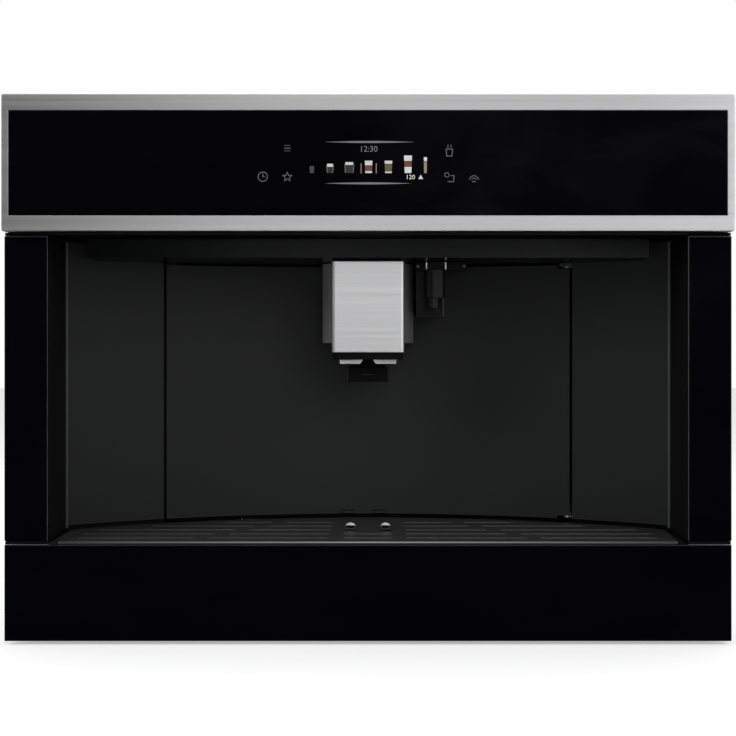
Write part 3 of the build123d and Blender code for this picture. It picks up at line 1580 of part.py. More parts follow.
# --- brewing unit ----------------------------------------------------------------------------
chamber_z = deck_top + chamber_rise
with BuildPart() as brew_frame:
    with BuildSketch(face_at(brew_depth - brew_length / 2)) as portal:
        with Locations((brew_x, (deck_top + brew_top) / 2)):
            RectangleRounded(brew_width, brew_height, 5)
        with Locations((brew_x, (deck_top + 6 + brew_top - 12) / 2)):
            Rectangle(brew_width - 2 * brew_cheek, brew_height - 18, mode=Mode.SUBTRACT)
    extrude(amount=-brew_length)
    with BuildSketch(plan(deck_top)) as puck_hole:
        with Locations((brew_x, brew_depth)):
            Rectangle(chute_hole, chute_hole)
    extrude(amount=6, mode=Mode.SUBTRACT)
    # fixed piston that closes the chamber
    with BuildSketch(plan(brew_top - 12 - piston_length)) as piston:
        with Locations((brew_x, brew_depth)):
            Circle(piston_radius)
    extrude(amount=piston_length)
keep(brew_frame.part, "brew_frame")

with BuildPart() as brew_chamber:
    with BuildSketch(plan(chamber_z)) as cylinder:
        with Locations((brew_x, brew_depth)):
            Circle(chamber_radius)
    extrude(amount=chamber_height)
    with BuildSketch(plan(chamber_z + 12)) as guide_ears:
        with Locations((brew_x, brew_depth)):
            Rectangle(brew_width - 2 * brew_cheek - 2 * slide_gap, 20)
    extrude(amount=chamber_height - 24)
    with BuildSketch(plan(chamber_z + 10)) as bore:
        with Locations((brew_x, brew_depth)):
            Circle(chamber_bore)
    extrude(amount=chamber_height, mode=Mode.SUBTRACT)
keep(brew_chamber.part, "brew_chamber")

# --- water side ------------------------------------------------------------------------------
boiler_x = boiler_side - inner_half
boiler_depth = machine_depth - boiler_rear_gap
with BuildPart() as boiler:
    with BuildSketch(plan(deck_top)) as heater:
        with Locations((boiler_x, boiler_depth)):
            Rectangle(boiler_size, boiler_size)
    extrude(amount=boiler_height)
    with BuildSketch(plan(deck_top + boiler_fin_end)) as fin_gaps:
        with Locations((boiler_x, boiler_depth)):
            with GridLocations(boiler_size / 6, boiler_size - boiler_fin_gap, 5, 2):
                Rectangle(boiler_fin_gap, 2 * boiler_fin_gap)
    extrude(amount=boiler_height - 2 * boiler_fin_end, mode=Mode.SUBTRACT)
    with BuildSketch(plan(deck_top + boiler_height)) as unions:
        with Locations((boiler_x, boiler_depth)):
            with GridLocations(union_pitch, 1, 2, 1):
                Circle(union_radius)
    extrude(amount=union_height)
keep(boiler.part, "boiler")

pump_x = pump_side - inner_half
pump_z = deck_top + pump_rise
with BuildPart() as water_pump:
    with BuildSketch(plan(deck_top)) as pump_foot:
        with Locations((pump_x, pump_depth)):
            Rectangle(1.4 * pump_radius, pump_length - 30)
    extrude(amount=pump_z - deck_top)
    with BuildSketch(face_at(pump_depth - pump_length / 2)) as pump_body:
        with Locations((pump_x, pump_z)):
            Circle(pump_radius)
    extrude(amount=-pump_length)
    with BuildSketch(face_at(pump_depth - pump_length / 2 - 14)) as pump_stubs:
        with Locations((pump_x, pump_z)):
            Circle(5)
    extrude(amount=-(pump_length + 28))
keep(water_pump.part, "water_pump")

# --- mains inlet and main switch in the rear cover ----------------------------------------------
flange_front = rear_depth - inlet_flange
socket_front = machine_depth - inlet_recess
with BuildPart() as power_inlet:
    with BuildSketch(face_at(machine_depth - inlet_length)) as inlet_body:
        with Locations((inlet_x, inlet_z)):
            Rectangle(inlet_width, inlet_height)
    extrude(amount=-inlet_length)
    with BuildSketch(face_at(flange_front)) as inlet_plate:
        with Locations((inlet_x, inlet_z)):
            Rectangle(inlet_width + 2 * inlet_flange_side, inlet_height + inlet_flange_side)
    extrude(amount=-inlet_flange)
    with BuildSketch(face_at(socket_front)) as inlet_socket:
        with Locations((inlet_x, inlet_z)):
            Rectangle(inlet_width - 2 * inlet_wall, inlet_height - 2 * inlet_wall)
    extrude(amount=-inlet_recess, mode=Mode.SUBTRACT)
    with BuildSketch(face_at(socket_front)) as inlet_pins:
        with Locations(
            (inlet_x - inlet_pin_pitch, inlet_z - inlet_pin_rise),
            (inlet_x, inlet_z + inlet_pin_rise),
            (inlet_x + inlet_pin_pitch, inlet_z - inlet_pin_rise),
        ):
            Rectangle(inlet_pin_rise, 2 * inlet_pin_rise)
    extrude(amount=-inlet_pin_length)
    # housing of the main switch beside it, open towards the back
    with BuildSketch(face_at(machine_depth - rocker_housing)) as switch_body:
        with Locations((rocker_x, inlet_z)):
            Rectangle(rocker_width + 2 * rocker_wall, rocker_height + 2 * rocker_wall)
    extrude(amount=-rocker_housing)
    with BuildSketch(face_at(socket_front)) as switch_well:
        with Locations((rocker_x, inlet_z)):
            Rectangle(rocker_width + 2 * fit_gap, rocker_height + rocker_window)
    extrude(amount=-inlet_recess, mode=Mode.SUBTRACT)
    bore_reach = rocker_trunnion + 2 * pin_gap
    with BuildSketch(side_at(rocker_x - rocker_width / 2 - bore_reach)) as pivot_bores:
        with Locations((machine_depth - rocker_pivot_depth, inlet_z)):
            Circle(hinge_pin_radius + pin_gap)
    extrude(amount=rocker_width + 2 * bore_reach, mode=Mode.SUBTRACT)
keep(power_inlet.part, "power_inlet")

with BuildPart() as power_rocker:
    pivot = machine_depth - rocker_pivot_depth
    with BuildSketch(side_at(rocker_x - rocker_width / 2)) as rocker_profile:
        with BuildLine():
            Polyline(
                (pivot - 2, inlet_z + 9),
                (pivot + 3.2, inlet_z + 10.2),
                (pivot + 5.6, inlet_z),
                (pivot + 6.8, inlet_z - 9.6),
                (pivot - 2, inlet_z - 9),
                close=True,
            )
        make_face()
    extrude(amount=rocker_width)
    with BuildSketch(side_at(rocker_x - rocker_width / 2 - rocker_trunnion)) as trunnions:
        with Locations((pivot, inlet_z)):
            Circle(hinge_pin_radius)
    extrude(amount=rocker_width + 2 * rocker_trunnion)
keep(power_rocker.part, "power_rocker")
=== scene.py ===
import math

import bmesh
import bpy
from mathutils import Matrix, Vector


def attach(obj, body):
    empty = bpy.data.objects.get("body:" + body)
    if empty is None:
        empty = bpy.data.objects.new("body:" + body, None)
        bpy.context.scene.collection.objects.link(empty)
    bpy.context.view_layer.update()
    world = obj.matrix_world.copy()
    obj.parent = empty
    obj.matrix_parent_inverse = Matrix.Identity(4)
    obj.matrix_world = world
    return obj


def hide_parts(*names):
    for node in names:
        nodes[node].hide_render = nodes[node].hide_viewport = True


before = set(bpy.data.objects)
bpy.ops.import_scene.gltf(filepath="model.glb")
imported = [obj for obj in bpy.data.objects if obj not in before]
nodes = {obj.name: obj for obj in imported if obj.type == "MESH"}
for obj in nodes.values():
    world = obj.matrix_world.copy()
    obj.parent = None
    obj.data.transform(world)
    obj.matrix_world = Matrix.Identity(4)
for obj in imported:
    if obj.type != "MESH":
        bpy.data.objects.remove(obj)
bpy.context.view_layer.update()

# ---- Studio ----
# The machine is shown on a plain pale floor under soft lamps, by a level camera straight in
# front of it. Black flags, which only mirrors see, keep its dark glass dark.
MM = 0.001
FRONT = -0.210
CAMERA_AWAY = 1.165
CAMERA_UP = 0.2498
LENS = 69.6
LENS_SHIFT = -0.038


def put_in_scene(name, data):
    """A new object that shows a mesh, a lamp or a camera."""
    made = bpy.data.objects.new(name, data)
    bpy.context.scene.collection.objects.link(made)
    return made


view_data = bpy.data.cameras.new("camera")
view_data.lens = LENS
view_data.shift_y = LENS_SHIFT
camera = put_in_scene("camera", view_data)
camera.location = (0, FRONT - CAMERA_AWAY, CAMERA_UP)
camera.rotation_euler = (math.radians(90), 0, 0)
bpy.context.scene.camera = camera
bpy.context.scene.view_settings.view_transform = "Standard"


def node(tree, kind, values=None, **settings):
    """Add a shader node with its settings and with values on its input sockets."""
    made = tree.nodes.new("ShaderNode" + kind)
    for label, value in settings.items():
        setattr(made, label, value)
    for socket, value in (values or {}).items():
        made.inputs[socket].default_value = value
    return made


def wire(tree, *links):
    """Join sockets, each link given as (node, output, node, input)."""
    for start, output, end, target in links:
        tree.links.new(start.outputs[output], end.inputs[target])


def seen_directly(tree):
    """1 for what the camera sees straight, in a mirror or through glass, and 0 for light."""
    path = node(tree, "LightPath")
    mirrored = node(tree, "Math", operation="MAXIMUM")
    seen = node(tree, "Math", operation="MAXIMUM")
    wire(
        tree,
        (path, "Is Camera Ray", mirrored, 0),
        (path, "Is Glossy Ray", mirrored, 1),
        (mirrored, 0, seen, 0),
        (path, "Is Transmission Ray", seen, 1),
    )
    return seen


ROOM_LIGHT = 0.44
world = bpy.data.worlds.new("room")
bpy.context.scene.world = world
world.use_nodes = True
room = world.node_tree
room.nodes.clear()
room_light = node(room, "Background", {"Color": (1, 1, 1, 1), "Strength": ROOM_LIGHT})
backdrop = node(room, "Background", {"Color": (1, 1, 1, 1), "Strength": 1.0})
either = node(room, "MixShader")
sky = node(room, "OutputWorld")
wire(
    room,
    (seen_directly(room), 0, either, 0),
    (room_light, 0, either, 1),
    (backdrop, 0, either, 2),
    (either, 0, sky, "Surface"),
)


def new_finish(name, values):
    """A material whose shader has these values on its own sockets."""
    material = bpy.data.materials.new(name)
    material.use_nodes = True
    shader = material.node_tree.nodes["Principled BSDF"]
    for label, value in values.items():
        shader.inputs[label].default_value = value
    return material


def rectangle(left, right, low, high):
    """The four corners of a rectangle."""
    return [(left, low), (right, low), (right, high), (left, high)]


def flat_sheet(name, material, corners):
    """One flat rectangle of the studio, which is not part of the machine."""
    mesh = bpy.data.meshes.new(name)
    mesh.from_pydata(corners, [], [range(len(corners))])
    mesh.materials.append(material)
    sheet = put_in_scene(name, mesh)
    return sheet


FLOOR_HALF = 6.0
FLOOR_GLOW = 0.42
floor_paint = new_finish(
    "floor_paint",
    {
        "Base Color": (0.80, 0.80, 0.80, 1),
        "Roughness": 0.9,
        "Specular IOR Level": 0.1,
        "Emission Color": (1, 1, 1, 1),
    },
)
floor_tree = floor_paint.node_tree
floor_lift = node(floor_tree, "Math", {1: FLOOR_GLOW}, operation="MULTIPLY")
wire(
    floor_tree,
    (seen_directly(floor_tree), 0, floor_lift, 0),
    (floor_lift, 0, floor_tree.nodes["Principled BSDF"], "Emission Strength"),
)
floor_corners = rectangle(-FLOOR_HALF, FLOOR_HALF, -FLOOR_HALF, FLOOR_HALF)
flat_sheet("floor", floor_paint, [(x, y, 0) for x, y in floor_corners])

FLAG_LEFT, FLAG_RIGHT = -2.2, 0.95
FLAG_FRONT, FLAG_FOOT, FLAG_TOP = -1.75, 0.002, 1.3
flag_cloth = new_finish("flag_cloth", {"Base Color": (0, 0, 0, 1), "Specular IOR Level": 0})
upright = [(x, FLAG_FRONT, z) for x, z in rectangle(FLAG_LEFT, FLAG_RIGHT, FLAG_FOOT, FLAG_TOP)]
lying = [(x, y, FLAG_FOOT) for x, y in rectangle(FLAG_LEFT, FLAG_RIGHT, FLAG_FRONT, FRONT - MM)]
flag_sheets = (
    flat_sheet("upright_flag", flag_cloth, upright),
    flat_sheet("flag_on_the_floor", flag_cloth, lying),
)
for flag in flag_sheets:
    for kind in ("camera", "diffuse", "transmission", "shadow"):
        setattr(flag, "visible_" + kind, False)


def soft_lamp(name, place, aim, width, height, power, unseen=()):
    """A softbox at one place, aimed at another, which some kinds of light don't see."""
    data = bpy.data.lights.new(name, "AREA")
    data.shape = "RECTANGLE"
    data.size = width
    data.size_y = height
    data.energy = power
    lamp = put_in_scene(name, data)
    lamp.location = place
    lamp.rotation_euler = (Vector(aim) - Vector(place)).to_track_quat("-Z", "Y").to_euler()
    for kind in ("camera", *unseen):
        setattr(lamp, "visible_" + kind, False)


MACHINE = (0, -0.2, 0.25)
CARD_AIM, LOW_CARD_AIM = (0.62, 0, 0.9), (0.12, 0, 0.28)
soft_lamp("card_lamp", (0.62, -2.0, 0.9), CARD_AIM, 1.0, 1.0, 18, ["diffuse"])
soft_lamp("low_card_lamp", (0.12, -2.0, 0.28), LOW_CARD_AIM, 0.35, 0.35, 3.6, ["diffuse"])
soft_lamp("front_lamp", (0.5, -2.0, 1.25), MACHINE, 1.0, 0.8, 3.5, ["glossy"])
soft_lamp("key_lamp", (2.0, -1.6, 1.7), MACHINE, 1.0, 1.0, 11)
soft_lamp("fill_lamp", (-1.9, -1.5, 1.4), MACHINE, 1.1, 1.1, 25, ["glossy"])
soft_lamp("top_lamp", (0.2, 0.1, 2.2), MACHINE, 1.4, 1.4, 14)

# ---- Control panel frame ----
# A pressed and folded frame of brushed stainless steel round the black panel glass. The sheet
# is brushed along its length, and its folded edges are softly rounded.


def effect(name, inputs, outputs):
    """Begin an effect: a node group with default inputs and named outputs."""
    group = bpy.data.node_groups.new(name, "ShaderNodeTree")
    for label, value in inputs.items():
        kind = "NodeSocketVector" if isinstance(value, tuple) else "NodeSocketFloat"
        socket = group.interface.new_socket(name=label, in_out="INPUT", socket_type=kind)
        socket.default_value = value
    for label, kind in outputs.items():
        group.interface.new_socket(name=label, in_out="OUTPUT", socket_type="NodeSocket" + kind)
    taken = group.nodes.new("NodeGroupInput")
    given = group.nodes.new("NodeGroupOutput")
    return group, taken, given


# Soft edges: the light that catches on a rounded edge, and how near the edge is.
soft_edges, taken, given = effect(
    "soft_edges", {"Radius": 0.4 * MM}, {"Normal": "Vector", "Edge": "Float"}
)
rounded_normal = node(soft_edges, "Bevel", samples=4)
flat_normal = node(soft_edges, "NewGeometry")
likeness = node(soft_edges, "VectorMath", operation="DOT_PRODUCT")
edge_mask = node(
    soft_edges,
    "MapRange",
    {"From Min": 0.995, "From Max": 0.80, "To Min": 0.0, "To Max": 1.0},
)
wire(
    soft_edges,
    (taken, "Radius", rounded_normal, "Radius"),
    (rounded_normal, "Normal", likeness, 0),
    (flat_normal, "Normal", likeness, 1),
    (likeness, "Value", edge_mask, "Value"),
    (edge_mask, "Result", given, "Edge"),
    (rounded_normal, "Normal", given, "Normal"),
)

# Brushed lines: fine scratches that run along the axis with the smallest number of Grain.
brushed_lines, taken, given = effect(
    "brushed_lines", {"Grain": (6.0, 900.0, 900.0)}, {"Tone": "Float", "Height": "Float"}
)
place_on_piece = node(brushed_lines, "TexCoord")
stretched = node(brushed_lines, "VectorMath", operation="MULTIPLY")
fine_lines = node(brushed_lines, "TexNoise", {"Scale": 1.0, "Detail": 4.0, "Roughness": 0.7})
long_shades = node(brushed_lines, "VectorMath", {1: (0.25, 0.25, 0.25)}, operation="MULTIPLY")
broad_lines = node(brushed_lines, "TexNoise", {"Scale": 1.0, "Detail": 2.0})
both_lines = node(brushed_lines, "Math", operation="ADD")
half_tone = node(brushed_lines, "Math", {1: 0.5}, operation="MULTIPLY")
wire(
    brushed_lines,
    (place_on_piece, "Object", stretched, 0),
    (taken, "Grain", stretched, 1),
    (stretched, 0, fine_lines, "Vector"),
    (stretched, 0, long_shades, 0),
    (long_shades, 0, broad_lines, "Vector"),
    (fine_lines, "Fac", both_lines, 0),
    (broad_lines, "Fac", both_lines, 1),
    (both_lines, 0, half_tone, 0),
    (half_tone, 0, given, "Tone"),
    (fine_lines, "Fac", given, "Height"),
)


def place_effect(material, group, values=None):
    """Put an effect into a material with its own values."""
    placed = material.node_tree.nodes.new("ShaderNodeGroup")
    placed.node_tree = group
    for label, value in (values or {}).items():
        placed.inputs[label].default_value = value
    return placed


def grey(level):
    """A neutral colour from its level on a display, from 0 to 255."""
    share = level / 255
    linear = share / 12.92 if share <= 0.04045 else ((share + 0.055) / 1.055) ** 2.4
    return (linear, linear, linear, 1)


def tint(red, green, blue):
    """A colour from its three levels on a display, from 0 to 255."""
    return tuple(grey(level)[0] for level in (red, green, blue)) + (1,)


def to_shader(material, source, output, socket):
    """Join an output to a socket of the material's own shader."""
    shader = material.node_tree.nodes["Principled BSDF"]
    wire(material.node_tree, (source, output, shader, socket))


def colour_between(material, source, output, dark, light):
    """The base colour moves between two colours as the effect's output goes from 0 to 1."""
    mix = node(material.node_tree, "Mix", {6: dark, 7: light}, data_type="RGBA")
    wire(material.node_tree, (source, output, mix, 0))
    to_shader(material, mix, 2, "Base Color")
    return mix


def edge_wear_and_highlight(material, edges, mix, wear_and_glint):
    """A lighter colour along the edges, over the colour that a mix gives: partly wear, partly a
    painted highlight where the light catches them.
    """
    wear = node(material.node_tree, "Mix", {7: wear_and_glint}, data_type="RGBA")
    wire(material.node_tree, (edges, "Edge", wear, 0), (mix, 2, wear, 6))
    to_shader(material, wear, 2, "Base Color")


def roughness_between(material, source, output, smooth, rough):
    """The roughness moves between two values as the effect's output goes from 0 to 1."""
    spread = node(material.node_tree, "MapRange", {"To Min": smooth, "To Max": rough})
    wire(material.node_tree, (source, output, spread, "Value"))
    to_shader(material, spread, "Result", "Roughness")


def relief(material, source, output, height, edges=None):
    """Bumps of a height in mm from the effect's output, on top of the soft edges."""
    bump = node(material.node_tree, "Bump", {"Strength": 1.0, "Distance": height * MM})
    wire(material.node_tree, (source, output, bump, "Height"))
    to_shader(material, bump, "Normal", "Normal")
    if edges:
        wire(material.node_tree, (edges, "Normal", bump, "Normal"))


def patterned_finish(name, values, group, settings, tones, gloss, height, softness=0.4):
    """A finish whose tone, gloss and relief follow one effect, and whose edges are lighter: partly
    wear, partly a painted highlight.
    """
    dark, light, wear_and_glint = tones
    finish = new_finish(name, values)
    pattern = place_effect(finish, group, settings)
    edges = place_effect(finish, soft_edges, {"Radius": softness * MM})
    edge_wear_and_highlight(finish, edges, colour_between(finish, pattern, "Tone", dark, light), wear_and_glint)
    roughness_between(finish, pattern, "Tone", *gloss)
    relief(finish, pattern, "Height", height, edges)
    return finish


def node_shape(node_name):
    """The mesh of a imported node, with its flat faces joined up again."""
    bm = bmesh.new()
    bm.from_mesh(nodes[node_name].data)
    bmesh.ops.remove_doubles(bm, verts=bm.verts, dist=0.01 * MM)
    flat = math.radians(0.4)
    bmesh.ops.dissolve_limit(bm, angle_limit=flat, verts=bm.verts, edges=bm.edges)
    return bm


def new_piece(name, shape, material, body, bevel=0.0, segments=2, crease=28.0):
    """A piece on its body, from a worked mesh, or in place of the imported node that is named.

    Its sharp edges are broken by a small round, in mm, where a bevel is given.
    """
    bm = node_shape(shape) if isinstance(shape, str) else shape
    bmesh.ops.recalc_face_normals(bm, faces=bm.faces)
    mesh = bpy.data.meshes.new(name)
    bm.to_mesh(mesh)
    bm.free()
    mesh.materials.append(material)
    piece = put_in_scene(name, mesh)
    for face in mesh.polygons:
        face.use_smooth = True
    if bevel:
        rounding = piece.modifiers.new("broken_edges", "BEVEL")
        rounding.width = bevel * MM
        rounding.segments = segments
        rounding.limit_method = "ANGLE"
        rounding.angle_limit = math.radians(crease)
        even_shading = piece.modifiers.new("even_shading", "WEIGHTED_NORMAL")
        even_shading.mode = "FACE_AREA"
        even_shading.weight = 100
    else:
        mesh.set_sharp_from_angle(angle=math.radians(crease))
    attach(piece, body)
    if isinstance(shape, str):
        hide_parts(shape)
    return piece


STEEL_GRAIN = (5.0, 1400.0, 1400.0)


def steel_finish(name, painted_lift=0):
    """Stainless steel, brushed along its width, made lighter by a painted lift where one is given.
    """
    return patterned_finish(
        name,
        {"Base Color": grey(205), "Metallic": 1.0, "Roughness": 0.34, "Anisotropic": 0.3},
        brushed_lines,
        {"Grain": STEEL_GRAIN},
        (
            tint(187 + painted_lift, 187 + painted_lift, 189 + painted_lift),
            tint(215 + painted_lift, 215 + painted_lift, 216 + painted_lift),
            grey(228 + painted_lift),
        ),
        (0.27, 0.42),
        0.006,
        softness=0.5,
    )


panel_steel = steel_finish("panel_steel")
new_piece("panel_surround", "panel_frame", panel_steel, "machine", 0.8, 3)

# ---- Panel glass and side strips ----
# Panes of black-backed float glass with ground edges: one behind the steel frame, and one down
# each side of the niche. They are glued on, and faint wiping marks dull their gloss.

# Wiping marks: broad, soft streaks left by a cloth.
wiping_marks, taken, given = effect("wiping_marks", {"Streaks": 9.0}, {"Mask": "Float"})
place_on_piece = node(wiping_marks, "TexCoord")
tilted = node(
    wiping_marks, "Mapping", {"Rotation": (0.3, 0.5, 0.4), "Scale": (1.0, 1.0, 2.6)}
)
streaks = node(wiping_marks, "TexNoise", {"Detail": 5.0, "Roughness": 0.62, "Distortion": 0.6})
contrast = node(wiping_marks, "MapRange", {"From Min": 0.38, "From Max": 0.72})
wire(
    wiping_marks,
    (place_on_piece, "Object", tilted, "Vector"),
    (tilted, "Vector", streaks, "Vector"),
    (taken, "Streaks", streaks, "Scale"),
    (streaks, "Fac", contrast, "Value"),
    (contrast, "Result", given, "Mask"),
)


def marked_finish(name, values, streaks, dark, light, gloss=None):
    """A plain finish whose colour, and gloss if it is given, vary with faint wiping marks."""
    finish = new_finish(name, {"Base Color": light, **values})
    marks = place_effect(finish, wiping_marks, {"Streaks": streaks})
    colour_between(finish, marks, "Mask", dark, light)
    if gloss:
        roughness_between(finish, marks, "Mask", *gloss)
    return finish


black_glass = new_finish(
    "black_glass", {"Base Color": grey(6), "Roughness": 0.05, "Specular IOR Level": 0.2}
)
marks = place_effect(black_glass, wiping_marks)
glass_edges = place_effect(black_glass, soft_edges, {"Radius": 0.5 * MM})
mix = colour_between(black_glass, marks, "Mask", tint(5, 4, 8), tint(8, 7, 12))
# Painted highlight: the glass is lighter along its edges, where the light catches them.
edge_wear_and_highlight(black_glass, glass_edges, mix, grey(58))
roughness_between(black_glass, marks, "Mask", 0.035, 0.09)
to_shader(black_glass, glass_edges, "Normal", "Normal")
for node_name, pane_name in (
    ("control_glass", "panel_pane"),
    ("left_trim_strip", "left_side_pane"),
    ("right_trim_strip", "right_side_pane"),
):
    new_piece(pane_name, node_name, black_glass, "machine", 0.4)


def from_front(across, up, behind):
    """A place from its width, height and depth behind the front plane, in mm."""
    return Vector((across * MM, FRONT + behind * MM, up * MM))


def from_above(across, behind, up):
    """The same place, with its depth given before its height."""
    return from_front(across, up, behind)


def skinned(bm, rings, closed=False):
    """Faces from each ring of corners to the next, with the end rings filled or joined."""
    for here, following in zip(rings, rings[1:] + rings[:1] if closed else rings[1:]):
        for corner in range(len(here)):
            other = (corner + 1) % len(here)
            bm.faces.new((here[corner], here[other], following[other], following[corner]))
    if not closed:
        bm.faces.new(rings[0])
        bm.faces.new(rings[-1])


def bar(bm, outline, start, end, place=from_front):
    """A closed bar over an outline, from one level to another."""
    skinned(
        bm, [[bm.verts.new(place(u, v, level)) for u, v in outline] for level in (start, end)]
    )


def bars_each_side(bm, inner, outer, low, high, start, end, place=from_front):
    """The same closed bar on the left and on the right."""
    for side in (-1, 1):
        bar(bm, rectangle(side * inner, side * outer, low, high), start, end, place)


def arc(centre, radius, start, end, steps):
    """Points along an arc between two angles in degrees."""
    turns = [math.radians(start + (end - start) * step / steps) for step in range(steps + 1)]
    return [
        (centre[0] + radius * math.cos(turn), centre[1] + radius * math.sin(turn))
        for turn in turns
    ]


def circle(centre, radius, corners=24):
    """Points round a circle."""
    return arc(centre, radius, 0, 360 - 360 / corners, corners - 1)


def line_along(bm, path, width, start, end, closed=False, place=from_front):
    """A closed flat bar of even width that follows a path, mitred at its corners."""
    count = len(path)
    rings = []
    for index in range(count):
        here = Vector(path[index])
        before = Vector(path[index - 1]) if index or closed else here
        after = Vector(path[(index + 1) % count]) if index < count - 1 or closed else here
        come = (here - before).normalized() if before != here else (after - here).normalized()
        go = (after - here).normalized() if after != here else come
        mean = (come + go).normalized()
        side = Vector((-mean.y, mean.x)) * width / 2 / max(0.4, mean.dot(come))
        ring = (here - side, start), (here + side, start), (here + side, end), (here - side, end)
        rings.append([bm.verts.new(place(spot.x, spot.y, level)) for spot, level in ring])
    skinned(bm, rings, closed)


# Painted highlights: thin light lines that stand for the light caught by the glass edges, along
# the top and the inner side of each side strip, and along the top of the lower pane.
LINE_STANDS, LINE_SINKS = 0.07, 0.01
glint_line_paint = marked_finish(
    "glint_line_paint", {"Roughness": 0.4, "Specular IOR Level": 0.1}, 30.0, grey(46), grey(60)
)


def edge_line(bm, path, width, surface=0.0):
    """A painted highlight along an edge, on a surface at this depth behind the front plane."""
    line_along(bm, path, width, surface - LINE_STANDS, surface - LINE_SINKS)


STRIP_OUTER, STRIP_INNER, STRIP_TOP, STRIP_FOOT = 297.5, 262.5, 334.5, 85.5
LOWER_HALF_WIDTH, LOWER_TOP = 297.4, 81.65
strip_lines = bmesh.new()
for side in (-1, 1):
    outer, inner = side * STRIP_OUTER, side * STRIP_INNER
    edge_line(strip_lines, [(outer, STRIP_TOP), (inner, STRIP_TOP), (inner, STRIP_FOOT)], 0.8)
new_piece("strip_light_edges", strip_lines, glint_line_paint, "machine")
lower_line = bmesh.new()
edge_line(lower_line, [(-LOWER_HALF_WIDTH, LOWER_TOP), (LOWER_HALF_WIDTH, LOWER_TOP)], 0.5)
new_piece("lower_light_edge", lower_line, glint_line_paint, "drip_drawer")

# Black foam seals close the gaps above and below the side strips. Both gaps are given by
# their lower and upper edge.
SEAL_NEAR, SEAL_FAR, SEAL_INNER, SEAL_OUTER = 0.5, 5.8, 262.4, 297.3
UPPER_GAP, LOWER_GAP = (335.3, 337.7), (82.3, 84.7)
seal_foam = marked_finish(
    "seal_foam", {"Roughness": 0.9, "Specular IOR Level": 0.1}, 90.0, grey(6), grey(12)
)
seals = bmesh.new()
for low, high in (UPPER_GAP, LOWER_GAP):
    bars_each_side(seals, SEAL_INNER, SEAL_OUTER, low, high, SEAL_NEAR, SEAL_FAR)
new_piece("gap_seals", seals, seal_foam, "machine", 0.2)

# ---- Display and touch symbols ----
# A small display behind the panel glass shows a row of drinks between two thin lines, and touch
# symbols are printed on the glass beside it. All of it is lit from behind.
PRINT_NEAR, PRINT_FAR = -9.88, -9.82
CUP_BASE = 385.4
CAPITAL_SHARE = 0.70
PRINT_COLOURS = {
    "white": (226, 226, 222),
    "line": (118, 118, 120),
    "symbol": (92, 92, 94),
    "faint": (58, 58, 60),
    "coffee": (24, 19, 16),
    "brown": (104, 62, 36),
    "olive": (98, 88, 52),
    "beige": (158, 138, 112),
    "rose": (150, 120, 110),
}
prints = {colour: bmesh.new() for colour in PRINT_COLOURS}


def printed(colour, outline):
    """One filled shape of the display or of a symbol."""
    bar(prints[colour], outline, PRINT_NEAR, PRINT_FAR)


def stroke(colour, path, width, closed=False):
    """One line of the display or of a symbol."""
    line_along(prints[colour], path, width, PRINT_NEAR, PRINT_FAR, closed)


def figures(colour, characters, centre, low, height):
    """Plain figures, centred over a place on the display."""
    letters = bpy.data.curves.new("figures", "FONT")
    letters.body = characters
    letters.align_x = "CENTER"
    letters.resolution_u = 3
    letters.size = height / CAPITAL_SHARE * MM
    letters.extrude = (PRINT_FAR - PRINT_NEAR) / 2 * MM
    carrier = bpy.data.objects.new("figures", letters)
    shape = bpy.data.meshes.new_from_object(carrier)
    middle = from_front(centre, low, (PRINT_NEAR + PRINT_FAR) / 2)
    shape.transform(Matrix.Translation(middle) @ Matrix.Rotation(math.radians(90), 4, "X"))
    prints[colour].from_mesh(shape)
    bpy.data.objects.remove(carrier)
    bpy.data.curves.remove(letters)


def spindle(left, right, level, thick):
    """A glowing line that swells towards its middle."""
    steps = 10
    shares = [step / steps for step in range(steps + 1)]
    over = [
        (left + (right - left) * share, level + thick / 2 * math.sin(math.pi * share))
        for share in shares
    ]
    under = [(across, 2 * level - up) for across, up in over[-2:0:-1]]
    printed("line", over + under)


def drink(centre, width, layers):
    """A glass seen from the side, filled in layers of (colour, low, high)."""
    for colour, low, high in layers:
        foot = width / 2 * (0.84 + 0.012 * low)
        brim = width / 2 * (0.84 + 0.012 * high)
        bottom, top = CUP_BASE + low, CUP_BASE + high
        corners = (centre - foot, bottom), (centre + foot, bottom), (centre + brim, top)
        printed(colour, [*corners, (centre - brim, top)])


spindle(-35.5, 38.0, 410.6, 1.7)
spindle(-35.5, 35.6, 377.0, 1.7)
figures("line", "12:30", 0.5, 402.7, 4.7)
figures("white", "120", 34.4, 380.4, 3.6)
printed("white", [(40.8, 380.5), (44.8, 380.5), (42.8, 384.0)])
drink(-45.6, 4.0, [("faint", 0, 5.6)])
drink(-30.8, 5.2, [("coffee", 0, 4.6), ("white", 5.0, 7.5)])
drink(-15.2, 6.8, [("coffee", 0, 6.0), ("white", 6.5, 8.8)])
drink(0.5, 6.4, [("white", 0, 1.6), ("brown", 1.9, 5.9), ("white", 6.3, 10.0)])
drink(16.6, 6.4, [("white", 0, 1.2), ("olive", 1.5, 7.1), ("white", 7.5, 10.0)])
drink(32.5, 6.4, [("white", 0, 5.0), ("brown", 5.4, 9.4), ("white", 9.8, 14.2)])
drink(46.6, 2.6, [("beige", 0, 9.4), ("white", 9.8, 12.8)])
for glass_x, half_width, brim in ((-30.8, 2.8, 6.0), (-15.2, 3.7, 7.4)):
    for way in (-1, 1):
        glass_foot = (glass_x + way * (half_width - 0.6), CUP_BASE + 0.2)
        stroke("line", [glass_foot, (glass_x + way * half_width, CUP_BASE + brim)], 0.5)
for select_x in (-5.6, 6.7):
    stroke("rose", [(select_x, 385.1), (select_x, 393.2)], 0.8)

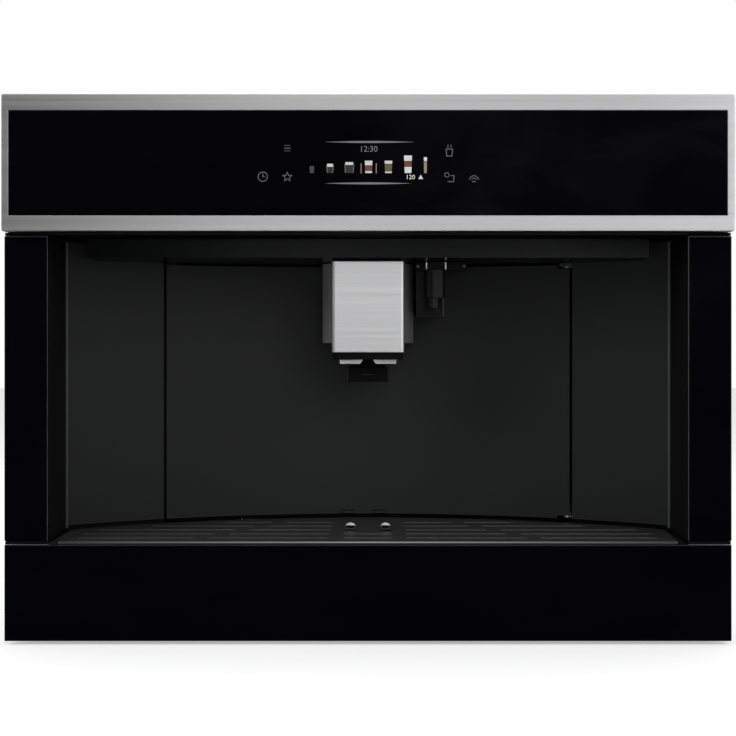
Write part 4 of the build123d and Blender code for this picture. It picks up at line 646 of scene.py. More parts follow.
for level, colour in ((407.7, "faint"), (405.5, "symbol"), (403.4, "faint")):
    stroke(colour, [(-68.0, level), (-63.0, level)], 0.7)
clock = (-85.4, 382.4)
stroke("symbol", circle(clock, 3.8), 0.7, closed=True)
stroke("symbol", [(clock[0], clock[1] + 2.4), clock, (clock[0] + 1.7, clock[1])], 0.7)
star = (-65.5, 382.2)
star_points = [
    (star[0] + reach * math.sin(turn), star[1] + reach * math.cos(turn))
    for reach, turn in (
        (3.8 if point % 2 == 0 else 1.7, math.pi * point / 5) for point in range(10)
    )
]
stroke("symbol", star_points, 0.6, closed=True)
for jet_x in (64.9, 67.3):
    stroke("symbol", [(jet_x, 405.9), (jet_x, 408.3)], 0.7)
cup_path = [(63.4, 404.8), (63.9, 399.2), (68.2, 399.2), (68.7, 404.8)]
stroke("symbol", cup_path, 0.7, closed=True)
stroke("symbol", arc((64.0, 383.9), 1.8, 0, 345, 15), 0.6, closed=True)
jug_path = [(64.6, 378.4), (69.4, 378.4), (69.9, 383.3), (67.2, 383.3)]
stroke("symbol", jug_path, 0.7)
for reach in (1.9, 3.8):
    stroke("symbol", arc((86.0, 379.4), reach, 10, 170, 12), 0.6)
stroke("symbol", [(84.6, 378.4), (87.4, 378.4)], 0.7)

for colour, levels in PRINT_COLOURS.items():
    ink = new_finish(
        "lit_" + colour, {"Base Color": grey(8), "Roughness": 0.3, "Emission Strength": 1.0}
    )
    unevenness = place_effect(ink, wiping_marks, {"Streaks": 70.0})
    glow = node(
        ink.node_tree,
        "Mix",
        {6: tint(*(0.86 * level for level in levels)), 7: tint(*levels)},
        data_type="RGBA",
    )
    wire(ink.node_tree, (unevenness, "Mask", glow, 0))
    to_shader(ink, glow, 2, "Emission Color")
    bmesh.ops.remove_doubles(prints[colour], verts=prints[colour].verts, dist=0.001 * MM)
    new_piece("display_" + colour, prints[colour], ink, "machine")

# ---- Niche walls, returns and roof ----
# The niche is lined with curved sheets in a fine dark grey satin paint. Its side returns and
# its roof are moulded in matte black plastic.

# Moulded skin: the fine, even grain of satin paint and of spark-eroded plastic.
moulded_skin, taken, given = effect(
    "moulded_skin", {"Grain": 1800.0}, {"Height": "Float", "Tone": "Float"}
)
place_on_piece = node(moulded_skin, "TexCoord")
pebbles = node(moulded_skin, "TexVoronoi", feature="SMOOTH_F1")
clouds = node(moulded_skin, "TexNoise", {"Scale": 14.0, "Detail": 4.0, "Roughness": 0.6})
wire(
    moulded_skin,
    (place_on_piece, "Object", pebbles, "Vector"),
    (taken, "Grain", pebbles, "Scale"),
    (place_on_piece, "Object", clouds, "Vector"),
    (pebbles, "Distance", given, "Height"),
    (clouds, "Fac", given, "Tone"),
)


def skin_finish(name, dark, light, smooth, rough, grain, height, specular=0.5, wear_and_glint=None):
    """Painted sheet or moulded plastic with a fine grain and slightly lighter edges, partly wear
    and partly a painted highlight.
    """
    return patterned_finish(
        name,
        {"Base Color": light, "Specular IOR Level": specular},
        moulded_skin,
        {"Grain": grain},
        (dark, light, wear_and_glint or tuple(1.5 * part for part in light[:3]) + (1,)),
        (smooth, rough),
        height,
    )


niche_paint = skin_finish(
    "niche_paint", tint(36, 38, 37), tint(41, 43, 42), 0.48, 0.58, 2600.0, 0.004, specular=0.12
)
WALL_CENTRE = -274.0
ROLL_LIKENESS = 0.99


def rolled(piece):
    """Shade a curved sheet as the true roll that its flat facets stand for."""
    mesh = piece.data
    axis = FRONT + WALL_CENTRE * MM
    normals = []
    for face in mesh.polygons:
        for loop in face.loop_indices:
            spot = mesh.vertices[mesh.loops[loop].vertex_index].co
            outward = Vector((spot.x, spot.y - axis, 0)).normalized()
            likeness = face.normal.dot(outward)
            on_roll = abs(likeness) > ROLL_LIKENESS
            normals.append(outward * math.copysign(1, likeness) if on_roll else face.normal)
    mesh.normals_split_custom_set(normals)


for node_name, wall_name, body in (
    ("left_niche_wall", "left_wall_sheet", "machine"),
    ("right_niche_wall", "right_wall_sheet", "machine"),
    ("door_panel", "door_sheet", "service_door"),
):
    rolled(new_piece(wall_name, node_name, niche_paint, body))

black_moulding = skin_finish(
    "black_moulding", grey(20), grey(26), 0.5, 0.64, 1500.0, 0.02, specular=0.3
)
deep_black = skin_finish(
    "deep_black", grey(6), grey(9), 0.5, 0.64, 1500.0, 0.02, specular=0.05, wear_and_glint=grey(30)
)
cheek_black = skin_finish(
    "cheek_black", grey(17), grey(21), 0.5, 0.64, 1500.0, 0.02, specular=0.1
)
for node_name, part_name in (
    ("left_niche_return", "left_cheek"),
    ("right_niche_return", "right_cheek"),
    ("niche_roof", "roof_sheet"),
):
    new_piece(part_name, node_name, cheek_black, "machine", 0.2)

# Behind the door a black flange hangs from the roof and another stands at the foot. More of
# them back the door's seams and the gaps under the side walls, and a strip of lighter grey paint
# backs the two notches at the door's foot: painted light, lighter than the wall so that the
# notches' shade reads as lit wall. Each is given by its two radii, the angles between which it
# runs, and its lower and upper edge.
notch_painted_light = skin_finish(
    "notch_painted_light", grey(56), grey(64), 0.48, 0.58, 2600.0, 0.004, specular=0.12
)
FLANGES = {
    "roof_flange": (454.0, 455.0, -22.8, 22.8, 315.5, 338.0),
    "foot_flange": (454.0, 455.0, -22.8, 22.8, 82.8, 88.0),
    "left_seam_flange": (447.3, 448.1, 24.0, 25.3, 87.0, 335.6),
    "right_seam_flange": (466.0, 467.0, -28.0, -21.0, 96.2, 318.0),
    "left_foot_flange": (447.2, 448.0, 24.4, 36.2, 83.0, 87.6),
    "right_foot_flange": (447.2, 448.0, -36.2, -24.4, 83.0, 87.6),
}
NOTCH_BACKING = (447.1, 447.7, -4.4, 4.4, 87.2, 91.6)


def curved_sheet(name, finish, body, measures):
    """A piece of sheet that follows the curve of the walls."""
    inner, outer, first, last, low, high = measures
    sheet = bmesh.new()
    path = arc((0, WALL_CENTRE), (inner + outer) / 2, 90 + first, 90 + last, 24)
    line_along(sheet, path, outer - inner, low, high, place=from_above)
    new_piece(name, sheet, finish, body)


for flange_name, measures in FLANGES.items():
    curved_sheet(flange_name, deep_black, "machine", measures)
curved_sheet("notch_backing", notch_painted_light, "service_door", NOTCH_BACKING)

# A black strip closes the gap under each return.
FEET_INNER, FEET_OUTER, FEET_NEAR, FEET_FAR = 262.4, 265.6, 6.5, 82.0
FEET_LOW, FEET_TOP = 82.5, 85.2
feet = bmesh.new()
bars_each_side(
    feet, FEET_INNER, FEET_OUTER, FEET_NEAR, FEET_FAR, FEET_LOW, FEET_TOP, from_above
)
new_piece("return_feet", feet, deep_black, "machine")

# A rounded bead seals the joint between each return and the wall behind it.
bead_rubber = skin_finish(
    "bead_rubber", grey(70), grey(80), 0.4, 0.5, 900.0, 0.01, specular=0.3
)
BEAD_INNER, BEAD_OUTER, BEAD_NEAR, BEAD_FAR = 262.7, 264.9, 80.9, 82.5
BEAD_LOW, BEAD_TOP = 83.2, 335.6
beads = bmesh.new()
bars_each_side(
    beads, BEAD_INNER, BEAD_OUTER, BEAD_NEAR, BEAD_FAR, BEAD_LOW, BEAD_TOP, from_above
)
new_piece("joint_beads", beads, bead_rubber, "machine", 0.5, 3)

# ---- Valance and niche lights ----
# A gloss black moulding under the roof hides the niche lights. It follows the curve of the
# walls, and two small lenses look down through it.
gloss_moulding = skin_finish(
    "gloss_moulding", tint(8, 10, 12), tint(11, 13, 15), 0.16, 0.28, 900.0, 0.003, specular=0.25
)
new_piece("valance_band", "valance", gloss_moulding, "machine", 0.6, 3)

frosted_lens = new_finish(
    "frosted_lens", {"Base Color": grey(34), "Roughness": 0.5, "Specular IOR Level": 0.2}
)
lens_skin = place_effect(frosted_lens, moulded_skin, {"Grain": 900.0})
colour_between(frosted_lens, lens_skin, "Tone", grey(28), grey(38))
relief(frosted_lens, lens_skin, "Height", 0.05)
new_piece("light_lenses", "niche_lights", frosted_lens, "machine", 0.2)

# ---- Guide column and coffee spout ----
# A grey column on the door carries the coffee spout, which slides up and down on it. The spout
# is a black plastic head in a folded cover of brushed steel, with two bright outlets.
column_satin = skin_finish(
    "column_satin", grey(126), grey(140), 0.34, 0.42, 1200.0, 0.004, specular=0.5
)
new_piece("column_shell", "spout_column", column_satin, "service_door", 0.5)

# The sleeve is the panel's steel made 24 levels lighter: painted light that lifts the spout out of
# the shade it stands in.
sleeve_steel = steel_finish("sleeve_steel", 24)
new_piece("spout_sleeve", "spout_cover", sleeve_steel, "spout", 0.2)

new_piece("spout_head", "spout_block", deep_black, "spout", 0.4)

# Painted highlights: a light line in a slit across the foot, and thin light lines along the edges
# at its sides.
FOOT_FRONT, FOOT_MIDDLE, FOOT_LINE_X, FOOT_LINE_HALF = 87.5, 219.35, 17.9, 5.45
SLIT_HALF_WIDTH, SLIT_HALF_HEIGHT, SLIT_DEPTH = 5.6, 0.3, 1.0
foot_lines = bmesh.new()
slit_low, slit_high = FOOT_MIDDLE - SLIT_HALF_HEIGHT, FOOT_MIDDLE + SLIT_HALF_HEIGHT
slit = rectangle(-SLIT_HALF_WIDTH, SLIT_HALF_WIDTH, slit_low, slit_high)
bar(foot_lines, slit, FOOT_FRONT + SLIT_DEPTH, FOOT_FRONT + SLIT_DEPTH + 0.4)
low, high = FOOT_MIDDLE - FOOT_LINE_HALF, FOOT_MIDDLE + FOOT_LINE_HALF
for line_x in (-FOOT_LINE_X, FOOT_LINE_X):
    edge_line(foot_lines, [(line_x, low), (line_x, high)], 0.5, FOOT_FRONT)
new_piece("foot_edges", foot_lines, glint_line_paint, "spout")

# Chrome with a share of plain near-white colour, which shows bright under diffuse light: a painted
# reflection on the outlets.
chrome_with_painted_glint = marked_finish(
    "chrome_with_painted_glint", {"Metallic": 0.7}, 60.0, grey(244), grey(252), (0.2, 0.26)
)
new_piece("coffee_outlets", "spout_outlets", chrome_with_painted_glint, "spout", 0.15, 2, 40)

# ---- Hot water nozzle ----
# The hot water outlet right of the spout: a plate and a screwed cross bar in gloss black
# plastic, and a down-pipe that pulls out of the bar.
nozzle_black = skin_finish(
    "nozzle_black", grey(6), grey(9), 0.3, 0.4, 900.0, 0.004, specular=0.08, wear_and_glint=grey(26)
)
pipe_black = skin_finish(
    "pipe_black", grey(14), grey(20), 0.3, 0.4, 900.0, 0.004, specular=0.2, wear_and_glint=grey(60)
)
plate_black = skin_finish(
    "plate_black", grey(10), grey(14), 0.36, 0.46, 1500.0, 0.01, specular=0.1, wear_and_glint=grey(56)
)
for node_name, part_name, body, finish in (
    ("nozzle_plate", "nozzle_back", "service_door", plate_black),
    ("nozzle_bar", "nozzle_cross_bar", "service_door", nozzle_black),
    ("hot_water_collar", "water_collar", "hot_water_spout", nozzle_black),
    ("hot_water_pipe", "water_pipe", "hot_water_spout", pipe_black),
):
    new_piece(part_name, node_name, finish, body, 0.3)

# Two painted highlights run up the collar's round sides, where the light catches them.
COLLAR_FRONT, COLLAR_FOOT, COLLAR_HEAD = 89.7, 312.3, 318.5
collar_mesh = bmesh.new()
for line_x in (51.6, 68.5):
    collar_path = [(line_x, COLLAR_FOOT), (line_x, COLLAR_HEAD)]
    line_along(collar_mesh, collar_path, 1.1, COLLAR_FRONT - 0.08, COLLAR_FRONT - 0.01)
new_piece("collar_lines", collar_mesh, chrome_with_painted_glint, "hot_water_spout")

# A painted highlight runs down the plate's right rim, the side that catches the light.
RIM_FRONT, RIM_X, RIM_FOOT, RIM_HEAD = 110.0, 67.6, 271.0, 308.0
rim_mesh = bmesh.new()
edge_line(rim_mesh, [(RIM_X, RIM_FOOT), (RIM_X, RIM_HEAD)], 1.3, RIM_FRONT)
new_piece("nozzle_rim_line", rim_mesh, glint_line_paint, "service_door")


def screw_head(bm, centre, along, radius, height):
    """A pan head with a six-lobed socket, standing on a surface along a direction, in mm."""
    steps = 36
    turned = Vector((0, 0, 1)).rotation_difference(Vector(along)).to_matrix()
    profile = (
        (1.0, 0.0, 0.0),
        (1.0, 0.45, 0.0),
        (0.86, 0.86, 0.0),
        (0.62, 1.0, 0.0),
        (0.47, 1.0, 0.13),
        (0.45, 0.35, 0.13),
    )
    rings = []
    for reach, level, lobes in profile:
        ring = []
        for step in range(steps):
            turn = 2 * math.pi * step / steps
            out = radius * reach * (1 + lobes * math.cos(6 * turn))
            spot = Vector((out * math.cos(turn), out * math.sin(turn), height * level))
            ring.append(bm.verts.new(from_above(*centre) + turned @ spot * MM))
        rings.append(ring)
    skinned(bm, rings)


BAR_SCREW_FLOOR, BAR_LEVEL = 99.75, 315.4
screw_steel = marked_finish(
    "screw_steel", {"Metallic": 1.0}, 200.0, grey(96), grey(116), (0.34, 0.5)
)
bar_screw_mesh = bmesh.new()
for screw_x in (44.5, 85.3):
    screw_head(bar_screw_mesh, (screw_x, BAR_SCREW_FLOOR, BAR_LEVEL), (0, -1, 0), 1.5, 0.7)
new_piece("bar_screws", bar_screw_mesh, screw_steel, "service_door")

# ---- Cup grid and drip drawer ----
# Cups stand on a punched plate with a satin dark finish, which lies on the drip tray. Tray and
# grounds bin ride in a drawer behind the lower front, a full-width pane of black glass.
# The slot edges are much lighter: a painted highlight where the light catches them.
grid_paint = skin_finish(
    "grid_paint", grey(46), grey(54), 0.28, 0.38, 1500.0, 0.01, specular=0.5, wear_and_glint=grey(190)
)
new_piece("grid_plate", "cup_grid", grid_paint, "cup_grid", 0.3)

# A painted highlight lies along the plate's front edge, brightest in the middle and fading towards
# its ends.
GRID_FRONT, GRID_TOP, LIP_HALF_WIDTH = 1.0, 84.6, 253.4
lip_painted_highlight = new_finish(
    "lip_painted_highlight", {"Base Color": grey(140), "Roughness": 0.35, "Specular IOR Level": 0.5}
)
lip_highlight_tree = lip_painted_highlight.node_tree
lip_highlight_place = node(lip_highlight_tree, "TexCoord")
lip_highlight_parts = node(lip_highlight_tree, "SeparateXYZ")
lip_highlight_away = node(lip_highlight_tree, "Math", operation="ABSOLUTE")
lip_highlight_fade = node(lip_highlight_tree, "MapRange", {"From Max": 0.25, "To Min": 1.0, "To Max": 0.0})
wire(
    lip_highlight_tree,
    (lip_highlight_place, "Object", lip_highlight_parts, 0),
    (lip_highlight_parts, "X", lip_highlight_away, 0),
    (lip_highlight_away, 0, lip_highlight_fade, "Value"),
)
colour_between(lip_painted_highlight, lip_highlight_fade, "Result", grey(64), grey(168))
lip = bmesh.new()
lip_face = rectangle(-LIP_HALF_WIDTH, LIP_HALF_WIDTH, GRID_TOP - 0.85, GRID_TOP - 0.1)
bar(lip, lip_face, GRID_FRONT - LINE_STANDS, GRID_FRONT - LINE_SINKS)
new_piece("grid_lip", lip, lip_painted_highlight, "cup_grid")

# Each drain hood is grey outside. Inside, a black lining is painted shade in its throat, and a
# bright crescent at its back is a painted highlight.
hood_grey = skin_finish(
    "hood_grey", grey(52), grey(62), 0.4, 0.5, 1500.0, 0.01, specular=0.2, wear_and_glint=grey(78)
)
hood_painted_glint = skin_finish(
    "hood_painted_glint", grey(236), grey(246), 0.3, 0.4, 1500.0, 0.01, specular=0.5
)
new_piece("drain_hoods", "drain_rims", hood_grey, "cup_grid", 0.15, 2, 40)

DRAIN_X, DRAIN_DEPTH, HOOD_BORE = 15.3, 81.6, 4.1
HOOD_LOW, HOOD_MIDDLE, HOOD_FRONT, HOOD_REACH, HOOD_SLOPE = 82.5, 87.0, 85.2, 5, 0.46
LINING_START, LINING_END = 8, 172


def hood_edge(turn):
    """The height of a hood's slanting mouth at an angle round it."""
    return HOOD_FRONT + HOOD_SLOPE * (HOOD_REACH + HOOD_BORE * math.sin(turn))


def hood_lining(bm, centre_x, low, high_at):
    """A thin lining round the back of a hood's bore, up to a height that varies round it."""
    steps = 24
    rings = []
    for step in range(steps + 1):
        turn = math.radians(LINING_START + (LINING_END - LINING_START) * step / steps)
        ring = []
        for gap, up in ((0.02, low), (0.02, high_at(turn)), (0.08, high_at(turn)), (0.08, low)):
            across = centre_x + (HOOD_BORE - gap) * math.cos(turn)
            behind = DRAIN_DEPTH + (HOOD_BORE - gap) * math.sin(turn)
            ring.append(bm.verts.new(from_above(across, behind, up)))
        rings.append(ring)
    skinned(bm, rings)


# In front of each hood a flat black patch on the plate is painted shade.
WELL_DEPTH, WELL_HALF_WIDTH, WELL_HALF_LENGTH = 69.6, 5.0, 6.9
glint_crescents = bmesh.new()
shade_throats = bmesh.new()
for drain_x in (-DRAIN_X, DRAIN_X):
    hood_lining(glint_crescents, drain_x, HOOD_MIDDLE, lambda turn: hood_edge(turn) - 0.1)
    hood_lining(shade_throats, drain_x, HOOD_LOW, lambda turn: HOOD_MIDDLE)
    bore = circle((drain_x, DRAIN_DEPTH), HOOD_BORE - 0.1)
    bar(shade_throats, bore, HOOD_LOW, HOOD_LOW + 0.5, from_above)
    well = [
        (drain_x + WELL_HALF_WIDTH * across, WELL_DEPTH + WELL_HALF_LENGTH * behind)
        for across, behind in circle((0, 0), 1)
    ]
    bar(shade_throats, well, GRID_TOP - 0.02, GRID_TOP + 0.04, from_above)
for lining_name, lining_mesh, finish, slot_name in (
    ("hood_crescents", glint_crescents, hood_painted_glint, "chrome"),
    ("hood_throats", shade_throats, deep_black, "matte_black"),
):
    new_piece(lining_name, lining_mesh, finish, "cup_grid")

new_piece("lower_pane", "drawer_front", black_glass, "drip_drawer", 0.4)

for node_name, part_name in (
    ("drawer_chassis", "drawer_tub"),
    ("drip_tray", "drip_basin"),
    ("grounds_bin", "puck_bin"),
):
    new_piece(part_name, node_name, black_moulding, "drip_drawer", 0.3)

# ---- Carcass ----
# The body behind the front is folded from galvanised sheet, whose zinc shows its flower
# pattern, and hangs on telescopic runners of bright zinc-plated steel.

# Zinc flowers: the patches of crystal on galvanised sheet.
zinc_flowers, taken, given = effect(
    "zinc_flowers", {"Flower": 170.0}, {"Tone": "Float", "Height": "Float"}
)
place_on_piece = node(zinc_flowers, "TexCoord")
warp = node(zinc_flowers, "TexNoise", {"Scale": 60.0, "Detail": 2.0})
bend = node(zinc_flowers, "Mix", {0: 0.012}, data_type="RGBA", blend_type="ADD")
crystals = node(zinc_flowers, "TexVoronoi")
one_tone = node(zinc_flowers, "SeparateColor")
wire(
    zinc_flowers,
    (place_on_piece, "Object", warp, "Vector"),
    (place_on_piece, "Object", bend, 6),
    (warp, "Color", bend, 7),
    (bend, 2, crystals, "Vector"),
    (taken, "Flower", crystals, "Scale"),
    (crystals, "Color", one_tone, 0),
    (one_tone, 0, given, "Tone"),
    (crystals, "Distance", given, "Height"),
)


def metal_finish(name, dark, light, smooth, rough, group, settings, height):
    """Bare or plated metal whose tone, gloss and relief follow one effect, with lighter edges that
    are partly wear and partly a painted highlight.
    """
    wear_and_glint = tuple(min(1.0, 1.25 * part) for part in light[:3]) + (1,)
    values = {"Base Color": light, "Metallic": 1.0}
    tones, gloss = (dark, light, wear_and_glint), (smooth, rough)
    return patterned_finish(name, values, group, settings, tones, gloss, height)


def drilled(shape, drill):
    """A mesh with another one cut out of it."""
    solids = []
    for label, bm in (("sheet_to_drill", shape), ("drill", drill)):
        bmesh.ops.recalc_face_normals(bm, faces=bm.faces)
        mesh = bpy.data.meshes.new(label)
        bm.to_mesh(mesh)
        bm.free()
        solids.append(put_in_scene(label, mesh))
    cut = solids[0].modifiers.new("cut", "BOOLEAN")
    cut.object = solids[1]
    cut.solver = "EXACT"
    cut_solid = solids[0].evaluated_get(bpy.context.evaluated_depsgraph_get())
    result = bmesh.new()
    result.from_mesh(cut_solid.to_mesh())
    for solid in solids:
        bpy.data.objects.remove(solid)
    return result


# Eight screws hold the rear sheet, in holes near its edges and none in its middle.
REAR_INNER, REAR_OUTER, REAR_HOLE = 428.8, 430.0, 4.1
rear_places = [
    (across, up) for across in (-257.0, 0.0, 257.0) for up in (20.0, 225.0, 424.0)
    if across or up != 225.0
]

zinc_sheet = metal_finish(
    "zinc_sheet", grey(164), grey(182), 0.36, 0.48, zinc_flowers, {"Flower": 170.0}, 0.004
)
for node_name, part_name in (
    ("base_pan", "bottom_sheet"),
    ("left_side_panel", "left_side_sheet"),
    ("right_side_panel", "right_side_sheet"),
    ("rear_cover", "rear_sheet"),
    ("top_cover", "top_sheet"),
    ("deck", "inner_shelf"),
):
    sheet_shape = node_shape(node_name)
    if node_name == "rear_cover":
        rear_drill = bmesh.new()
        for across, up in rear_places:
            bar(rear_drill, circle((across, up), REAR_HOLE), REAR_INNER - 1, REAR_OUTER + 1)
        sheet_shape = drilled(sheet_shape, rear_drill)
    sheet = new_piece(part_name, sheet_shape, zinc_sheet, "machine", 0.2, 1)
    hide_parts(node_name)

# Pan-head screws hold the top and the sides to the folded flanges inside. Those of the rear
# sheet lie in its holes, below its face.
SIDE_FACE, TOP_FACE, TOP_SCREW_X = 267.0, 437.2, 256.0
SCREW_DEPTHS, SIDE_SCREW_LEVELS = (40.0, 228.0, 416.0), (100.0, 424.0)
SCREW_RADIUS, SCREW_HEIGHT, SCREW_SINKS = 3.6, 2.2, 0.1
carcass_screw_mesh = bmesh.new()
for behind in SCREW_DEPTHS:
    for side in (-1, 1):
        place = (side * TOP_SCREW_X, behind, TOP_FACE - SCREW_SINKS)
        screw_head(carcass_screw_mesh, place, (0, 0, 1), SCREW_RADIUS, SCREW_HEIGHT)
        for level in SIDE_SCREW_LEVELS:
            place = (side * (SIDE_FACE - SCREW_SINKS), behind, level)
            screw_head(carcass_screw_mesh, place, (side, 0, 0), SCREW_RADIUS, SCREW_HEIGHT)
for across, up in rear_places:
    place = (across, REAR_INNER - SCREW_SINKS, up)
    screw_head(carcass_screw_mesh, place, (0, 1, 0), REAR_HOLE - 0.1, 1.2)
new_piece("carcass_screws", carcass_screw_mesh, screw_steel, "machine")

runner_grain = {"Grain": (900.0, 8.0, 900.0)}
runner_steel = metal_finish(
    "runner_steel", grey(168), grey(196), 0.24, 0.38, brushed_lines, runner_grain, 0.004
)
for node_name, part_name, body in (
    ("left_cabinet_rail", "left_outer_runner", "cabinet_runners"),
    ("right_cabinet_rail", "right_outer_runner", "cabinet_runners"),
    ("middle_rails", "middle_runners", "runner_middles"),
    ("machine_rails", "inner_runners", "machine"),
    ("door_hinge_brackets", "door_brackets", "machine"),
):
    new_piece(part_name, node_name, runner_steel, body, 0.2, 1)

# ---- Lids, knob and switch ----
# Moulded black parts: the lids over beans and ground coffee and the grinding knob on the top,
# the mains inlet with its rocker switch at the back, and the frame that carries the front.
for node_name, part_name, body in (
    ("bean_lid", "bean_flap", "bean_lid"),
    ("funnel_flap", "ground_coffee_flap", "funnel_flap"),
    ("grind_knob", "grinding_knob", "grind_knob"),
    ("power_inlet", "mains_socket", "machine"),
    ("power_rocker", "mains_rocker", "power_rocker"),
    ("front_carrier", "front_frame", "machine"),
):
    new_piece(part_name, node_name, black_moulding, body, 0.3)

# Raised lines stiffen both lids, and a moulded bean marks the one over the hopper.
LID_TOP, RELIEF_HEIGHT = 441.5, 0.8
BEAN_LID, BEAN_LID_HALF, LID_CORNER = (-95.0, 255.0), 78.0, 12.0
FLAP, FLAP_HALF_WIDTH, FLAP_HALF_LENGTH = (12.0, 239.0), 26.0, 21.0


def raised_line(bm, centre, path, width, closed=True):
    """A moulded line on top of a lid, given round the lid's centre."""
    path = [(centre[0] + across, centre[1] + behind) for across, behind in path]
    line_along(bm, path, width, LID_TOP - 0.05, LID_TOP + RELIEF_HEIGHT, closed, from_above)


bean_relief = bmesh.new()
rim = BEAN_LID_HALF - 7
side = rim - LID_CORNER
notch = 31.0
bean_rim = [(-side, -rim), (-notch, -rim), (-notch + 5, -rim + 8), (notch - 5, -rim + 8)]
bean_rim += [(notch, -rim), (side, -rim), (rim, -side), (rim, side)]
bean_rim += [(side, rim), (-side, rim), (-rim, side), (-rim, -side)]
raised_line(bean_relief, BEAN_LID, bean_rim, 1.6)
bean_outline = [(11 * across, 15 * behind) for across, behind in circle((0, 0), 1, 32)]
raised_line(bean_relief, BEAN_LID, bean_outline, 1.4)
bean_crease = [
    (3.2 * math.sin(math.pi * share), 12 * share) for share in (step / 8 - 1 for step in range(17))
]
raised_line(bean_relief, BEAN_LID, bean_crease, 1.4, closed=False)
flap_relief = bmesh.new()
flap_x, flap_y = FLAP_HALF_WIDTH - 5, FLAP_HALF_LENGTH - 5
raised_line(flap_relief, FLAP, rectangle(-flap_x, flap_x, 4 - flap_y, flap_y), 1.2)
for relief_name, relief_mesh, body in (
    ("bean_flap_relief", bean_relief, "bean_lid"),
    ("ground_coffee_flap_relief", flap_relief, "funnel_flap"),
):
    new_piece(relief_name, relief_mesh, black_moulding, body, 0.3)

# White marks: the knob's pointer, and a line and a ring on the rocker. Round the knob, dots
# that grow stand for the fineness of the grounds.
white_print = marked_finish("white_print", {"Roughness": 0.5}, 120.0, grey(204), grey(228))
black_print = marked_finish("black_print", {"Roughness": 0.5}, 120.0, grey(18), grey(32))
KNOB_X, KNOB_DEPTH, KNOB_TOP, SCALE_RADIUS = 95.0, 236.0, 445.5, 22.5
ROCKER_X, ROCKER_BEND, ROCKER_LEVEL = -150.0, 428.6, 48.0
UPPER_LEAN, LOWER_LEAN = math.atan2(2.4, 10.2), math.atan2(1.2, 9.6)
MARK_LOW, MARK_TOP = 0.01, 0.07


def on_upper_rocker(across, along, out, lean=UPPER_LEAN, way=1):
    """A place on the rocker's upper half, so far along it from the bend."""
    behind = ROCKER_BEND - way * along * math.sin(lean) + out * math.cos(lean)
    up = ROCKER_LEVEL + way * along * math.cos(lean) + out * math.sin(lean)
    return from_front(ROCKER_X + across, up, behind)


def on_lower_rocker(across, along, out):
    """A place on the rocker's lower half, so far along it from the bend."""
    return on_upper_rocker(across, along, out, LOWER_LEAN, -1)


pointer = bmesh.new()
pointer_line = [(KNOB_X, KNOB_DEPTH - 14.7), (KNOB_X, KNOB_DEPTH - 2.3)]
line_along(pointer, pointer_line, 1.3, KNOB_TOP - 1.05, KNOB_TOP - 0.3, place=from_above)
rocker_marks = bmesh.new()
on_mark = [(0, 2.6), (0, 6.8)]
line_along(rocker_marks, on_mark, 0.8, MARK_LOW, MARK_TOP, place=on_lower_rocker)
off_mark = circle((0, 5.2), 2.0)
line_along(rocker_marks, off_mark, 0.7, MARK_LOW, MARK_TOP, True, on_upper_rocker)
dots = bmesh.new()
for dot, centre in enumerate(arc((KNOB_X, KNOB_DEPTH), SCALE_RADIUS, -210, 30, 8)):
    outline = circle(centre, 0.6 + 0.12 * dot, 16)
    bar(dots, outline, TOP_FACE - 0.02, TOP_FACE + 0.05, from_above)
for mark_name, mark_mesh, finish, body in (
    ("knob_pointer", pointer, white_print, "grind_knob"),
    ("rocker_marks", rocker_marks, white_print, "power_rocker"),
    ("grinding_scale", dots, black_print, "machine"),
):
    new_piece(mark_name, mark_mesh, finish, body)

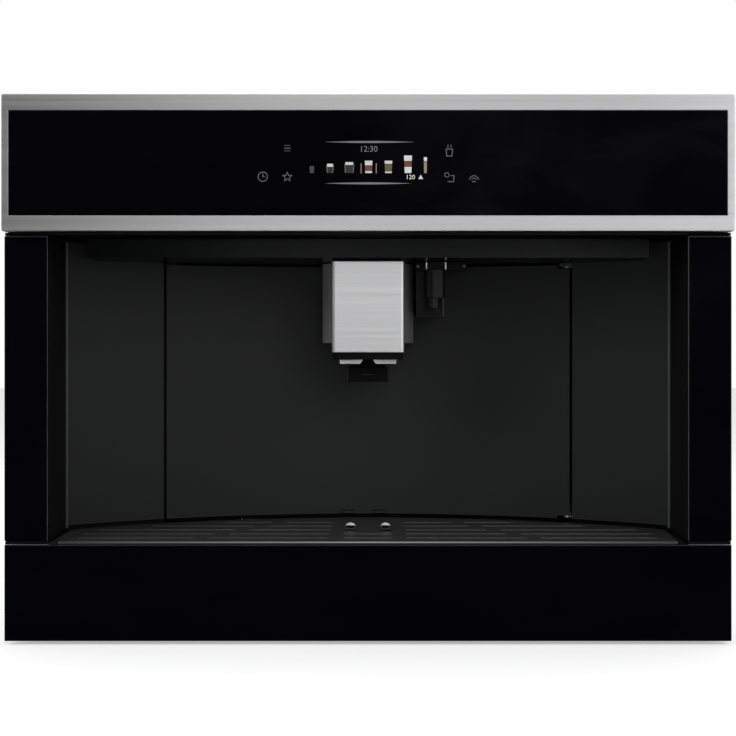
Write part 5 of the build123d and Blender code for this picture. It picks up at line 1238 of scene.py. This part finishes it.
# ---- Inside ----
# What works behind the door and under the lids: tank, hopper, grinder, brewing unit, boiler,
# pump and electronics, each in the material it is moulded, cast or stamped from.
grey_moulding = skin_finish(
    "grey_moulding", grey(96), grey(108), 0.42, 0.55, 1300.0, 0.02, specular=0.4
)
cast_alloy = metal_finish(
    "cast_alloy", grey(140), grey(168), 0.42, 0.6, moulded_skin, {"Grain": 700.0}, 0.06
)
burr_grain = {"Grain": (700.0, 700.0, 40.0)}
burr_steel = metal_finish(
    "burr_steel", grey(150), grey(180), 0.22, 0.34, brushed_lines, burr_grain, 0.01
)
board_green = skin_finish(
    "board_green", tint(16, 58, 38), tint(22, 74, 48), 0.3, 0.45, 600.0, 0.02
)
display_glass = marked_finish("display_glass", {"Roughness": 0.08}, 9.0, grey(8), grey(12))


def clear_finish(name, colour, rough):
    """Clear moulded plastic with faint flow marks."""
    darker = tuple(0.9 * part for part in colour[:3]) + (1,)
    values = {"Transmission Weight": 0.85, "IOR": 1.49, "Metallic": 0.0}
    return marked_finish(name, values, 22.0, darker, colour, (rough, rough + 0.08))


tank_plastic = clear_finish("tank_plastic", tint(198, 208, 214), 0.08)
smoke_plastic = clear_finish("smoke_plastic", tint(92, 88, 84), 0.10)
for node_name, part_name, body, finish, slot_name in (
    ("water_tank", "tank_shell", "water_tank", tank_plastic, "tank_clear"),
    ("tank_cover", "tank_top", "water_tank", grey_moulding, "grey_plastic"),
    ("tank_lid", "filling_lid", "tank_lid", grey_moulding, "grey_plastic"),
    ("tank_coupling", "tank_nipple", "machine", grey_moulding, "grey_plastic"),
    ("drawer_guides", "drawer_rails", "machine", grey_moulding, "grey_plastic"),
    ("latch_striker", "latch_catch", "machine", grey_moulding, "grey_plastic"),
    ("door_latch", "latch_spring", "service_door", grey_moulding, "grey_plastic"),
    ("bean_hopper", "hopper_shell", "machine", smoke_plastic, "hopper_smoke"),
    ("funnel_chute", "funnel_shell", "machine", grey_moulding, "grey_plastic"),
    ("brew_frame", "brewing_frame", "machine", grey_moulding, "grey_plastic"),
    ("brew_chamber", "brewing_chamber", "brew_chamber", grey_moulding, "grey_plastic"),
    ("grinder_body", "grinder_housing", "machine", cast_alloy, "cast_alloy"),
    ("grinder_burr", "burr_cone", "grinder_burr", burr_steel, "burr_steel"),
    ("boiler", "boiler_body", "machine", cast_alloy, "cast_alloy"),
    ("water_pump", "pump_body", "machine", zinc_sheet, "zinc_sheet"),
    ("control_board", "electronics_board", "machine", board_green, "circuit_board"),
    ("display_module", "display_box", "machine", display_glass, "display_glass"),
):
    new_piece(part_name, node_name, finish, body, 0.2, 1, 32)
